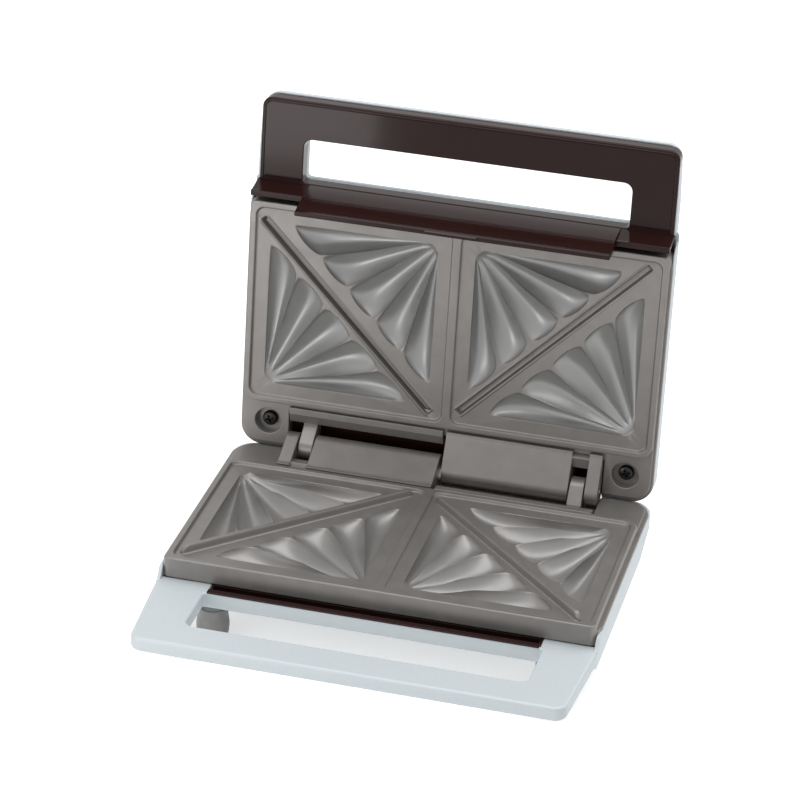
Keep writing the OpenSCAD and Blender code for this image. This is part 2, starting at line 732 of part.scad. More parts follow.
module base_liner() {
    top = -plate_t;
    in_base() color(brown_colour) difference() {
        union() {
            difference() {
                carrier(top - 8);
                slab(-hinge_half_w - 3, hinge_half_w + 3, strip_end + 4, liner_back + 1, top - 4, top + 1);
            }
            gutter();
            both_sides() for (y = boss_ys)
                post(boss_x, y, -belly + 5, top - 1, 8);
        }
        slab(-catch_half_w - 2, catch_half_w + 2, skirt_foot - 1.6, skirt_foot + 2, top - 14, top - 6);
        both_sides() for (y = boss_ys)
            post(boss_x, y, -belly + 4, -belly + 18, screw_d - 0.9);
        both_sides() post(plate_w / 2 - 6, field_d - 8, top - 9, top + 1, screw_d + 0.5);
    }
}

skirt_top = -plate_t;
skirt_front = front_y + 1;
skirt_foot = skirt_front + 6.2;
side_lip = 4;

module lid_liner() {
    top = -plate_t;
    deep = lid_deck + 2.2;
    far = lid_reach - 5;
    w = liner_half_w - 1.8;
    lean = (skirt_foot - skirt_front) / skirt_h;
    side_h = plate_t + 2.5;
    mid_z = skirt_top + skirt_h;
    side_z = skirt_top + side_h;
    side_y = skirt_front + lean * side_h;
    in_lid() color(brown_colour) difference() {
        union() {
            carrier(top - 8);
            plan([[-w, 4], [-w, -far], [w, -far], [w, 4]], [0, 5, 5, 0], top - 3, top);
            plan([[-w, -4], [-w, -far - 1.5], [w, -far - 1.5], [w, -4]], [0, 6, 6, 0], -deep, top - 2.9);
            window(skirt_front - 1.6, lid_reach - lid_bar, -lid_deck - 4, top - 1, 1.8);
            along_x(-skirt_half_w, skirt_half_w, [[skirt_front, top - 3], [skirt_front, skirt_top],
                [skirt_foot - 0.5, mid_z], [skirt_foot + liner_wall, mid_z],
                [skirt_foot + liner_wall, mid_z - 1.6], [skirt_front + liner_wall, skirt_top],
                [skirt_front + liner_wall, top - 3]], [0, 0, 0.5, 0, 0, 0, 0]);
            along_x(-w - 1.2, w + 1.2, [[skirt_front, top - 3], [skirt_front, skirt_top],
                [side_y - 0.5, side_z], [side_y + side_lip, side_z], [side_y + side_lip, side_z - 2],
                [side_y + liner_wall, side_z - 2], [skirt_front + liner_wall, skirt_top],
                [skirt_front + liner_wall, top - 3]], [0, 0, 0.5, 0.5, 0, 0, 0, 0]);
            slab(-catch_half_w, catch_half_w, skirt_foot - 0.6, skirt_foot + 1, mid_z - 1, mid_z + 2.6);
            both_sides() for (y = boss_ys)
                post(boss_x, y, top - 4.5, top - 1, 8);
            both_sides() post(ear_x, ear_y, top - 12, top - 1, 9);
        }
        window(skirt_front - 0.4, lid_reach - lid_bar, -lid_deck - 6, top + 1);
        difference() {
            slab(-w + 2, w - 2, -far + 2, skirt_front - 2, -deep - 1, top - 2.6);
            window(skirt_front - 1.6, lid_reach - lid_bar, -deep - 2, top, 1.8);
        }
        both_sides() for (y = boss_ys) {
            post(boss_x, y, top - 6, top + 1, screw_d + 0.5);
            post(boss_x, y, top - 2.4, top + 1, 6.6);
        }
        both_sides() post(ear_x, ear_y, top - 11, top + 1, screw_d - 0.9);
    }
}

module lid_shell() {
    z1 = -lid_deck;
    z0 = z1 - lid_handle_t;
    front = lid_reach - lid_bar;
    in_lid() color(silver_colour) difference() {
        union() {
            difference() {
                union() {
                    body(lid_back, lid_deck, lid_crown, 0);
                    intersection() {
                        plan(handle_plan(lid_reach, half_w - 0.6, half_w - 1.6, 0), [0, 9, 9, 0], z0, z1);
                        along_x(-half_w, half_w, [[-3, z0], [-3, z1], [-lid_reach, z1],
                            [-lid_reach, z0]], [0, 0, 1, 5]);
                    }
                }
                body(lid_back, lid_deck, lid_crown, wall);
                slab(-half_w + wall + 0.6, half_w - wall - 0.6, front_y - 0.5, 4, z1 - 4, z1 + 1);
                difference() {
                    plan(handle_plan(lid_reach, half_w - 0.6, half_w - 1.6, 2.2), [0, 7, 7, 0],
                        z0 + 2.4, z1 + 1);
                    window(front_y + 1, front, z0, z1 + 2, 1.6);
                    slab(-half_w, half_w, front_y, 3, z0 - 1, z1 + 2);
                }
            }
            intersection() {
                body(lid_back, lid_deck, lid_crown, 0);
                both_sides() for (y = boss_ys)
                    post(boss_x, y, -belly - 1, -plate_t - 4.5, 8);
            }
        }
        window(front_y + 0.6, front, z0 - 1, z1 + 1);
        window(front_y, front + 1, -lid_deck - 4.3, z1 + 1, 2);
        slab(-hinge_half_w - 2, hinge_half_w + 2, lid_back - 6, lid_back + 1, -10, 1);
        both_sides() for (y = boss_ys)
            post(boss_x, y, -plate_t - 18, -plate_t - 3, screw_d - 0.9);
        for (side = [-1, 1]) {
            post(side * lens_x, lens_y, -belly - lid_crown - 1, -belly + wall + 1, lens_d + 0.2);
        }
    }
}

// ---- feet, pins, screws and lamps --------------------------------------------------------

// Barrel-shaped foot with a straight neck; a front foot's top is hollowed for its disc
module foot(x, y, neck, dish) {
    r = foot_d / 2;
    body_h = foot_h - pad_t;
    side = [for (i = [0 : 8]) [foot_neck_r + (r - foot_neck_r) * sin(i * 22.5), 1 + (body_h - 1) * i / 8]];
    top = dish > 0 ? [[foot_neck_r, body_h + neck], [disc_d / 2, body_h + neck],
        [disc_d / 2, body_h + neck - dish], [0, body_h + neck - dish]]
        : [[foot_neck_r, body_h + neck], [0, body_h + neck]];
    in_base() color([0.36, 0.34, 0.32]) translate([x, y, -belly - body_h])
        rotate_extrude() polygon(concat([[0, 0], [foot_neck_r - 0.6, 0]], side, top));
}

module foot_front_left() { foot(-foot_x, foot_front_y, foot_top, disc_t); }

module foot_front_right() { foot(foot_x, foot_front_y, foot_top, disc_t); }

module foot_rear_left() { foot(-foot_x, foot_rear_y, 3, 0); }

module foot_rear_right() { foot(foot_x, foot_rear_y, 3, 0); }

module foot_discs() {
    in_base() color([0.8, 0.81, 0.8]) both_sides()
        post(foot_x, foot_front_y, foot_seat - disc_t, foot_seat - 0.2, disc_d - 0.1);
}

module foot_pads() {
    in_base() color([0.12, 0.12, 0.12]) both_sides() for (y = [foot_front_y, foot_rear_y])
        post(foot_x, y, -belly - foot_h, -belly - foot_h + pad_t, foot_d - 4.4);
}

module hinge_pin() {
    color(steel_colour) rod_x(-hinge_half_w - 0.4, -hinge_half_w + pin_l - 0.4, hinge_y, hinge_z, pin_d / 2);
}

module hinge_pin_left() { in_base() hinge_pin(); }

module hinge_pin_right() { in_lid() hinge_pin(); }

module upper_plate_screws() {
    in_lid() color([0.14, 0.13, 0.13]) both_sides()
        translate([ear_x, ear_y, -plate_t + 3]) mirror([0, 0, 1]) screw(11, 9, 3);
}

module upper_front_screws() {
    in_lid() color(steel_colour) both_sides()
        translate([plate_w / 2 - 6, 8, -plate_t - 3]) screw(8);
}

module lower_plate_screws() {
    in_base() color(steel_colour) both_sides() for (y = [8, field_d - 8])
        translate([plate_w / 2 - 6, y, -plate_t - 3]) screw(8);
}

module base_screws() {
    in_base() color(steel_colour) both_sides() for (y = boss_ys)
        translate([boss_x, y, -belly + 2.4]) screw(14);
}

module lid_screws() {
    in_lid() color(steel_colour) both_sides() for (y = boss_ys)
        translate([boss_x, y, -plate_t - 2.4]) mirror([0, 0, 1]) screw(13, 6);
}

module lamp(side) {
    in_lid() color([0.95, 0.6, 0.4, 0.6])
        post(side * lens_x, lens_y, -belly + wall + 2.4, -belly + wall + 12, 6);
}

module lens(side, tint) {
    top = -belly + wall;
    in_lid() color(tint) {
        post(side * lens_x, lens_y, -belly - lid_crown - 0.8, top + eps, lens_d);
        post(side * lens_x, lens_y, top, top + 2, lens_d + 3);
    }
}

module power_lamp() { lamp(-1); }

module ready_lamp() { lamp(1); }

module power_lens() { lens(-1, [0.8, 0.1, 0.08]); }

module ready_lens() { lens(1, [0.1, 0.6, 0.2]); }

base_shell();
base_liner();
lower_plate();
lower_element();
lower_element_clips();
lower_clip_screws();
lower_plate_screws();
base_reflector();
thermostat();
thermostat_bracket();
thermostat_screws();
terminal_block();
base_screws();
foot_front_left();
foot_front_right();
foot_rear_left();
foot_rear_right();
foot_pads();
foot_discs();
hinge_pin_left();
hinge_pin_right();
upper_plate();
upper_plate_screws();
upper_front_screws();
upper_element();
upper_element_clips();
upper_clip_screws();
lid_reflector();
thermal_fuse();
fuse_clip();
lid_liner();
lid_shell();
lid_screws();
power_lamp();
ready_lamp();
power_lens();
ready_lens();
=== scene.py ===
import json
import math

import bmesh
import bpy
from mathutils import Euler, Matrix, Vector
from mathutils.geometry import delaunay_2d_cdt


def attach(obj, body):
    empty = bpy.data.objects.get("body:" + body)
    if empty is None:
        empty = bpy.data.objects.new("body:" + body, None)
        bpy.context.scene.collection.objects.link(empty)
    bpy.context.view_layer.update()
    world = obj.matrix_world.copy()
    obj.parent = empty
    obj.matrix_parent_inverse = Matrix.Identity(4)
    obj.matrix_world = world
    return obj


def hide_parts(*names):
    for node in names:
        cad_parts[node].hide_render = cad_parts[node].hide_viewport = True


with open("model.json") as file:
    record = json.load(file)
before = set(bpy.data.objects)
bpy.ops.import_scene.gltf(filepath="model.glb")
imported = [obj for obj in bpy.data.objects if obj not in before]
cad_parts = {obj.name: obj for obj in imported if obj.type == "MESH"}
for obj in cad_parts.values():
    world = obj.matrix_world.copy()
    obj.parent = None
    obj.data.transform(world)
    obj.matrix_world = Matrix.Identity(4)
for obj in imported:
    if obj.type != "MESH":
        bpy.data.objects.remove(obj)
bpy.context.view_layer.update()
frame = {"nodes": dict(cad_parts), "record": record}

# ---- sizes ----
# In millimetres, in the frame that both halves are drawn in: X across, Y back from the plates'
# front edge, Z = 0 on a plate's rim and negative into its own casing.

# cooking plate: outline, thickness, rim, bar between the compartments, depth of their floor
PLATE_W, FIELD_D, PLATE_T = 240, 122, 12
RIM, DIVIDER, RECESS = 3.6, 5, 1.8
COMP_W = (PLATE_W - DIVIDER) / 2 - RIM
COMP_D = FIELD_D - 2 * RIM
DIAG = math.hypot(COMP_W, COMP_D)

# hinge: axis, radius of a knuckle, half the width, gap between the closed plates, open angle
HINGE_Y, HINGE_Z, KNUCKLE_R, HINGE_HALF = 146.4, 0.2, 8, 92
GAP, OPEN = 0.4, 94
# strip behind the field: its front, the line where a knuckle's slope starts, its end
STRIP_FRONT, STRIP_Y, STRIP_END = 123.6, 127.4, 133
# lug and end knuckle beside it: their widths, and the running gap between them
LUG_W, END_W, RUN = 8.4, 7.6, 0.6
# ears beside the hinge: back edge, depth below the rim, and the upper plate's counterbore
EAR_BACK, EAR_DROP, EAR_X, EAR_Y, EAR_R = 148.4, 3.4, 105, 135, 7.75

# pockets: depth, flutes, land beside the walls and beside the blade, bulge of a flute's end,
# radius of the apex; blade and groove lie SEAM_SHIFT beside the diagonal
POCKET_D, FLUTES, LEG_LAND, BLADE_LAND = 7.2, 5, 8.2, 9.8
BULGE, APEX_R, SEAM_SHIFT = 2.8, 6, 3.0
LEG_A = COMP_W - LEG_LAND - LEG_LAND * COMP_W / COMP_D - BLADE_LAND * DIAG / COMP_D
LEG_B = COMP_D - LEG_LAND - LEG_LAND * COMP_D / COMP_W - BLADE_LAND * DIAG / COMP_W

# height of the rims over the floor, a casing's edge below them, and the plates' front edge in Y
SEAM_Z, EDGE, ORIGIN_Y = 54, 6, -64.46013

# where each half's frame lies, in metres: the lid is turned over and opened about the hinge
IN_BASE = Matrix.Scale(0.001, 4) @ Matrix.Translation((0, ORIGIN_Y, SEAM_Z))
IN_LID = (
    IN_BASE
    @ Matrix.Translation((0, HINGE_Y, HINGE_Z))
    @ Matrix.Rotation(math.radians(-OPEN), 4, "X")
    @ Matrix.Translation((0, -HINGE_Y, -HINGE_Z))
    @ Matrix.Translation((0, 0, GAP))
    @ Matrix.Rotation(math.pi, 4, "Y")
)


# ---- outlines: lists of (x, y), anticlockwise ----


def rounded(corners, n=8, r=0):
    """A polygon with rounded corners; a corner is (x, y), or (x, y, its own radius)."""
    out = []
    m = len(corners)
    for i, corner in enumerate(corners):
        b = Vector(corner[:2])
        own = corner[2] if len(corner) > 2 else r
        if own <= 0:
            out.append((b.x, b.y))
            continue
        u = (Vector(corners[i - 1][:2]) - b).normalized()
        w = (Vector(corners[(i + 1) % m][:2]) - b).normalized()
        half = math.acos(max(-1, min(1, u.dot(w)))) / 2
        centre = b + (u + w).normalized() * (own / math.sin(half))
        a = b + u * (own / math.tan(half)) - centre
        c = b + w * (own / math.tan(half)) - centre
        sweep = math.pi - 2 * half
        for k in range(n + 1):
            f = k / n
            p = centre + (a * math.sin((1 - f) * sweep) + c * math.sin(f * sweep)) / math.sin(sweep)
            out.append((p.x, p.y))
    return out


def box_loop(x0, x1, y0, y1, radii=0, n=8):
    """A rectangle; radii is one for all corners, or a list that starts at (x0, y0)."""
    rs = radii if isinstance(radii, list) else [radii] * 4
    return rounded([(x0, y0, rs[0]), (x1, y0, rs[1]), (x1, y1, rs[2]), (x0, y1, rs[3])], n)


def wide_loop(half, y0, y1, radii=0, n=8):
    """A rectangle that reaches as far to the left as to the right."""
    return box_loop(-half, half, y0, y1, radii, n)


def symmetric(right, n=8):
    """An outline from the corners of its right half, front first."""
    return rounded(right + [(-x, y, r) for x, y, r in reversed(right)], n)


def mirrored(loop):
    return [(-x, y) for x, y in reversed(loop)]


def ring(x, y, r, n=24):
    return [(x + r * math.cos(2 * math.pi * k / n), y + r * math.sin(2 * math.pi * k / n)) for k in range(n)]


def divided(loop, step):
    """A loop with its long sides split."""
    out = []
    for (x0, y0), (x1, y1) in zip(loop, loop[1:] + loop[:1]):
        n = max(1, math.ceil(math.hypot(x1 - x0, y1 - y0) / step))
        out += [(x0 + (x1 - x0) * k / n, y0 + (y1 - y0) * k / n) for k in range(n)]
    return out


def mitre(ax, ay, bx, by):
    """How a corner between two directions moves when its sides move to their left by 1."""
    la, lb = math.hypot(ax, ay) or 1, math.hypot(bx, by) or 1
    na, nb = (-ay / la, ax / la), (-by / lb, bx / lb)
    k = max(1 + na[0] * nb[0] + na[1] * nb[1], 0.35)
    return (na[0] + nb[0]) / k, (na[1] + nb[1]) / k


def shrink(loop, d):
    """A loop moved inwards by d, or by one d for each point; a negative d moves it outwards."""
    m = len(loop)
    ds = d if isinstance(d, list) else [d] * m
    out = []
    for i, (x, y) in enumerate(loop):
        (x0, y0), (x1, y1) = loop[i - 1], loop[(i + 1) % m]
        nx, ny = mitre(x - x0, y - y0, x1 - x, y1 - y)
        out.append((x + ds[i] * nx, y + ds[i] * ny))
    return untangled(loop, out)


def untangled(loop, out):
    """Where a corner was too tight for the move and its sides turned round, it becomes a point."""
    m = len(loop)

    def way(points, i):
        (x0, y0), (x1, y1) = points[i % m], points[(i + 1) % m]
        return x1 - x0, y1 - y0

    turned = []
    for i in range(m):
        (ax, ay), (bx, by) = way(loop, i), way(out, i)
        turned.append(math.hypot(ax, ay) > 1e-7 and ax * bx + ay * by <= 0)
    if not any(turned) or sum(turned) > m / 2:
        return out
    start = turned.index(False)
    i = start
    while i < start + m:
        if not turned[i % m]:
            i += 1
            continue
        j = i
        while turned[(j + 1) % m]:
            j += 1
        (ax, ay), (bx, by) = way(loop, i - 1), way(loop, j + 1)
        (px, py), (qx, qy) = out[i % m], out[(j + 1) % m]
        cross = ax * by - ay * bx
        if abs(cross) > 1e-9:
            t = ((qx - px) * by - (qy - py) * bx) / cross
            spot = (px + t * ax, py + t * ay)
        else:
            spot = ((px + qx) / 2, (py + qy) / 2)
        for n in range(i, j + 2):
            out[n % m] = spot
        i = j + 1
    return out


def inside(p, loop):
    """Whether a point lies in a loop: a line to its side crosses the loop an odd number of times."""
    hit = False
    x, y = p
    for (x0, y0), (x1, y1) in zip(loop, loop[1:] + loop[:1]):
        if (y0 > y) != (y1 > y) and x < x0 + (y - y0) * (x1 - x0) / (y1 - y0):
            hit = not hit
    return hit


def quarter(n):
    """Pairs that run from the side of a rounded edge to its flat: how far in, how far up."""
    return [(1 - math.cos(k / n * math.pi / 2), math.sin(k / n * math.pi / 2)) for k in range(n + 1)]


def rolled(loop, z, r, steps, up=1, way=1):
    """Rows of points that round a loop's side over into a flat at the level z.

    r is a radius or a function of x, y. up is 1 for an upper edge and -1 for a lower one; way is
    1 for an outline and -1 for a hole."""
    rs = [r(x, y) for x, y in loop] if callable(r) else [r] * len(loop)
    rows = []
    for a, b in quarter(steps) if max(rs) > 0 else [(0, 0)]:
        moved = shrink(loop, [way * own * a for own in rs])
        rows.append([(x, y, z - up * own * (1 - b)) for (x, y), own in zip(moved, rs)])
    return rows


def flat(row):
    """The outline in plan of a row of points."""
    return [p[:2] for p in row]


def border(rows):
    """The outline in plan of a grid of points."""
    ends = [r[0] for r in rows] + rows[-1][1:] + [r[-1] for r in reversed(rows[:-1])]
    return flat(ends + rows[0][-2:0:-1])


# ---- skins: faces gathered for one piece ----


class Skin:
    def __init__(self):
        self.points = []
        self.faces = []

    def add(self, points, faces):
        n = len(self.points)
        self.points += [tuple(p) for p in points]
        self.faces += [[i + n for i in f] for f in faces]

    def grid(self, rows, closed=True):
        """Quads between rows of points of one length."""
        m = len(rows[0])
        faces = [
            [r * m + c, r * m + (c + 1) % m, (r + 1) * m + (c + 1) % m, (r + 1) * m + c]
            for r in range(len(rows) - 1)
            for c in range(m if closed else m - 1)
        ]
        self.add([p for row in rows for p in row], faces)

    def fill(self, loop, holes, lift, extra=()):
        """A flat or curved sheet inside a loop, with holes; lift turns x, y into a point."""
        points, edges = [], []
        for l in [loop] + list(holes):
            n = len(points)
            points += [Vector(p) for p in l]
            edges += [(n + i, n + (i + 1) % len(l)) for i in range(len(l))]
        points += [Vector(p) for p in extra]
        found = delaunay_2d_cdt(points, edges, [], 0, 1e-6)
        faces = []
        for f in found[2]:
            c = sum((found[0][i] for i in f), Vector((0, 0))) / len(f)
            if inside(c, loop) and not any(inside(c, h) for h in holes):
                faces.append(list(f))
        self.add([lift(p.x, p.y) for p in found[0]], faces)

    def level(self, loop, holes, z):
        self.fill(loop, holes, lambda x, y: (x, y, z))

    def slab(self, loop, z0, z1, top, low, holes=(), hole_top=0, hole_low=0, steps=4):
        """A plate of any outline with edges rounded by top and low, and holes whose edges are too."""
        tops, lows = [], []
        for l, rt, rl, way in [(loop, top, low, 1)] + [(h, hole_top, hole_low, -1) for h in holes]:
            rows = rolled(l, z0, rl, steps, -1, way)[::-1] + rolled(l, z1, rt, steps, 1, way)
            lows.append(flat(rows[0]))
            tops.append(flat(rows[-1]))
            self.grid(rows)
        self.level(lows[0], lows[1:], z0)
        self.level(tops[0], tops[1:], z1)

    def slabs(self, loop, z0, z1, top, low):
        """A slab on the right and its mirror image on the left."""
        self.slab(loop, z0, z1, top, low)
        self.slab(mirrored(loop), z0, z1, top, low)

    def bar(self, loop, x0, x1, ends):
        """A profile in Y and Z drawn along X, with rounded end edges."""
        drawn = Skin()
        drawn.slab(loop, x0, x1, ends, ends, steps=3)
        self.add([(x, y, z) for y, z, x in drawn.points], drawn.faces)

    def bars(self, loop, x0, x1, ends):
        """A bar on the right and its mirror image on the left."""
        self.bar(loop, x0, x1, ends)
        self.bar(loop, -x1, -x0, ends)

    def wall(self, path, tops, z0, thick, r):
        """A wall that stands on an open path, thick to its left, with a rounded top that may step."""
        rows = []
        m = len(path)
        for i, (x, y) in enumerate(path):
            ax, ay = (x - path[i - 1][0], y - path[i - 1][1]) if i else (path[1][0] - x, path[1][1] - y)
            bx, by = (path[i + 1][0] - x, path[i + 1][1] - y) if i < m - 1 else (ax, ay)
            if math.hypot(ax, ay) < 1e-6:
                ax, ay = bx, by
            if math.hypot(bx, by) < 1e-6:
                bx, by = ax, ay
            nx, ny = mitre(ax, ay, bx, by)
            over = [(r * a, tops[i] - r * (1 - b)) for a, b in quarter(4)]
            line = [(0, z0)] + over + [(thick - d, z) for d, z in reversed(over)] + [(thick, z0)]
            rows.append([(x + nx * d, y + ny * d, z) for d, z in line])
        self.grid(rows)
        n = len(rows[0])
        for row in (rows[0], rows[-1]):
            self.add(row, [[k, k + 1, n - 2 - k, n - 1 - k] for k in range(n // 2 - 1)])

    def turned(self, profile, centre, axis="Z", n=48):
        """A profile of radius and height pairs, turned about an axis through a centre."""
        rows = []
        for r, h in profile:
            row = []
            for u, v in ring(0, 0, max(r, 1e-4), n):
                p = {"Z": (u, v, h), "X": (h, u, v), "Y": (v, h, u)}[axis]
                row.append([c + d for c, d in zip(centre, p)])
            rows.append(row)
        self.grid(rows)


def rod(x, y, z0, z1, r, n=40):
    """A closed upright cylinder, used as a cutter."""
    skin = Skin()
    skin.turned([(0, z0), (r, z0), (r, z1), (0, z1)], (x, y, 0), n=n)
    return skin


def cut(skin, cutters):
    """The skin with every cutter, a closed skin of its own, taken out of it."""
    made = []
    for k in [skin] + cutters:
        mesh = bpy.data.meshes.new("work")
        mesh.from_pydata(k.points, [], k.faces)
        bm = bmesh.new()
        bm.from_mesh(mesh)
        bmesh.ops.remove_doubles(bm, verts=bm.verts, dist=1e-3)
        bmesh.ops.recalc_face_normals(bm, faces=bm.faces)
        bm.to_mesh(mesh)
        bm.free()
        obj = bpy.data.objects.new("work", mesh)
        bpy.context.scene.collection.objects.link(obj)
        made.append(obj)
    for c in made[1:]:
        mod = made[0].modifiers.new("cut", "BOOLEAN")
        mod.operation = "DIFFERENCE"
        mod.solver = "EXACT"
        mod.object = c
    graph = bpy.context.evaluated_depsgraph_get()
    done = bpy.data.meshes.new_from_object(made[0].evaluated_get(graph))
    out = Skin()
    out.add([v.co for v in done.vertices], [list(f.vertices) for f in done.polygons])
    for obj in made:
        bpy.data.objects.remove(obj)
    return out


def piece(name, skin, place, body, slot, node, sharp=32):
    """Makes one object of a skin: welded, turned outwards, smooth with sharp edges kept."""
    mesh = bpy.data.meshes.new(name)
    mesh.from_pydata([place @ Vector(p) for p in skin.points], [], skin.faces)
    bm = bmesh.new()
    bm.from_mesh(mesh)
    bmesh.ops.remove_doubles(bm, verts=bm.verts, dist=4e-6)
    bmesh.ops.dissolve_degenerate(bm, edges=bm.edges, dist=1e-7)
    bmesh.ops.recalc_face_normals(bm, faces=bm.faces)
    for f in bm.faces:
        f.smooth = True
    for e in bm.edges:
        if len(e.link_faces) == 2:
            e.smooth = e.calc_face_angle(0) < math.radians(sharp)
    bm.to_mesh(mesh)
    bm.free()
    obj = bpy.data.objects.new(name, mesh)
    bpy.context.scene.collection.objects.link(obj)
    mesh.materials.append(MATERIALS[slot])
    mod = obj.modifiers.new("weights", "WEIGHTED_NORMAL")
    mod.keep_sharp = True
    mod.weight = 60
    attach(obj, body)
    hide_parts(node)
    return obj


# ---- materials ----

MATERIALS = {}


def noise(tree, scale, detail):
    """A noise texture in the object's own coordinates."""
    coord = tree.nodes.get("Texture Coordinate") or tree.nodes.new("ShaderNodeTexCoord")
    node = tree.nodes.new("ShaderNodeTexNoise")
    node.inputs["Scale"].default_value = scale
    node.inputs["Detail"].default_value = detail
    tree.links.new(coord.outputs["Object"], node.inputs["Vector"])
    return node.outputs["Fac"]


def span(tree, value, low, high, socket, start=0.0, end=1.0):
    """Leads a value from start to end into a socket, as low to high."""
    node = tree.nodes.new("ShaderNodeMapRange")
    node.inputs["From Min"].default_value = start
    node.inputs["From Max"].default_value = end
    node.inputs["To Min"].default_value = low
    node.inputs["To Max"].default_value = high
    tree.links.new(value, node.inputs["Value"])
    tree.links.new(node.outputs["Result"], socket)


def material(name, colour, rough, metal, bump, mottle=0.0, mottle_scale=60, rough_spread=0.0, **more):
    """A procedural finish: mottled colour, uneven gloss and layers of fine relief.

    bump is a list of (scale per metre, strength, height in metres, detail)."""
    m = bpy.data.materials.new(name)
    m.use_nodes = True
    tree = m.node_tree
    shader = tree.nodes["Principled BSDF"].inputs
    shader["Base Color"].default_value = (*colour, 1)
    shader["Roughness"].default_value = rough
    shader["Metallic"].default_value = metal
    for key, value in more.items():
        shader[key.replace("_", " ")].default_value = value
    if mottle:
        ramp = tree.nodes.new("ShaderNodeValToRGB")
        for stop, place, share in zip(ramp.color_ramp.elements, (0.3, 0.7), (1 - mottle, 1 + mottle)):
            stop.position = place
            stop.color = (*[min(1, c * share) for c in colour], 1)
        tree.links.new(noise(tree, mottle_scale, 5), ramp.inputs["Fac"])
        tree.links.new(ramp.outputs["Color"], shader["Base Color"])
    if rough_spread:
        low, high = max(0, rough - rough_spread), min(1, rough + rough_spread)
        span(tree, noise(tree, mottle_scale * 0.7, 6), low, high, shader["Roughness"], 0.3, 0.7)
    last = None
    for scale, strength, height, detail in bump:
        relief = tree.nodes.new("ShaderNodeBump")
        relief.inputs["Strength"].default_value = strength
        relief.inputs["Distance"].default_value = height
        tree.links.new(noise(tree, scale, detail), relief.inputs["Height"])
        if last:
            tree.links.new(last.outputs["Normal"], relief.inputs["Normal"])
        last = relief
    tree.links.new(last.outputs["Normal"], shader["Normal"])
    MATERIALS[name] = m


# name, colour, roughness, metal, relief; how far and how finely the colour varies; spread of roughness
material("silver_paint", (0.63, 0.685, 0.715), 0.5, 0.1, [(2600, 0.10, 2e-5, 2), (60, 0.05, 2e-4, 3)],
    0.02, 900, 0.03)
material("brown_plastic", (0.026, 0.0098, 0.0088), 0.10, 0, [(40, 0.05, 2e-4, 2), (1800, 0.03, 1e-5, 2)],
    0.05, 40, 0.02, IOR=1.26)
material("coated_casting", (0.236, 0.222, 0.211), 0.40, 0.45, [(1500, 0.16, 3e-5, 3), (90, 0.08, 2e-4, 3)],
    0.05, 120, 0.05)
material("sheathed_steel", (0.22, 0.20, 0.185), 0.42, 0.9, [(900, 0.2, 3e-5, 3)], 0.18, 80)
material("plated_steel", (0.55, 0.56, 0.57), 0.28, 1, [(1500, 0.1, 2e-5, 2)], 0.06, 300)
material("bright_sheet", (0.78, 0.78, 0.77), 0.2, 1, [(700, 0.08, 3e-5, 3)], 0.03, 90)
material("ceramic_white", (0.76, 0.73, 0.65), 0.3, 0, [(600, 0.08, 3e-5, 3)], 0.04, 90)
material("foot_plastic", (0.25, 0.24, 0.23), 0.38, 0, [(1400, 0.12, 3e-5, 2)], 0.06, 150, 0.05)
material("foot_rubber", (0.018, 0.018, 0.018), 0.72, 0, [(1800, 0.3, 5e-5, 3)], 0.12, 300)
material("light_plastic", (0.55, 0.56, 0.54), 0.4, 0, [(1400, 0.1, 3e-5, 2)], 0.03, 300)
material("pin_steel", (0.17, 0.15, 0.14), 0.35, 0.9, [(1500, 0.15, 2e-5, 2)], 0.1, 300)
material("black_steel", (0.022, 0.020, 0.020), 0.34, 0.6, [(1300, 0.2, 3e-5, 3)], 0.12, 300)
material("lamp_glass", (0.9, 0.55, 0.35), 0.08, 0, [(300, 0.03, 2e-5, 2)], Transmission_Weight=0.6)
for name, colour in (("red_lens", (0.62, 0.020, 0.015)), ("green_lens", (0.025, 0.30, 0.07))):
    material(name, colour, 0.12, 0, [(400, 0.04, 3e-5, 2)], Transmission_Weight=0.25, Coat_Weight=0.5)

slots = {s["node"]: s["material_slot"] for s in frame["record"]["subparts"]}
for node, obj in frame["nodes"].items():
    obj.data.materials.clear()
    obj.data.materials.append(MATERIALS[slots[node]])


def paint_sheen_and_wear(m, colour, name):
    """Paints a colour into a finish where the points' value of that name is 1, such as deep in a pocket: a
    painted sheen, with some wear.
    """
    tree = m.node_tree
    socket = tree.nodes["Principled BSDF"].inputs["Base Color"]
    value = tree.nodes.new("ShaderNodeAttribute")
    value.attribute_name = name
    mix = tree.nodes.new("ShaderNodeMix")
    mix.data_type = "RGBA"
    # the node's sockets for colours: how much, from, to, and what comes out
    factor, plain, full, result = mix.inputs[0], mix.inputs[6], mix.inputs[7], mix.outputs[2]
    full.default_value = (*colour, 1)
    tree.links.new(value.outputs["Fac"], factor)
    tree.links.new(socket.links[0].from_socket, plain)
    tree.links.new(result, socket)


# painted sheen: deep in the pockets the plates' coating is drawn lighter and cooler, standing in for the
# light the flutes catch, with some wear
paint_sheen_and_wear(MATERIALS["coated_casting"], (0.345, 0.345, 0.342), "hollow")

# ---- cooking plates ----


def fan(t):
    """The far edge of a pocket, from one leg's end at t = 0 to the other's, with a bulge for each flute."""
    n = math.hypot(LEG_A, LEG_B)
    b = BULGE * abs(math.sin(math.pi * FLUTES * t)) ** 0.75
    return (LEG_A * (1 - t) + LEG_B / n * b, LEG_B * t + LEG_A / n * b)


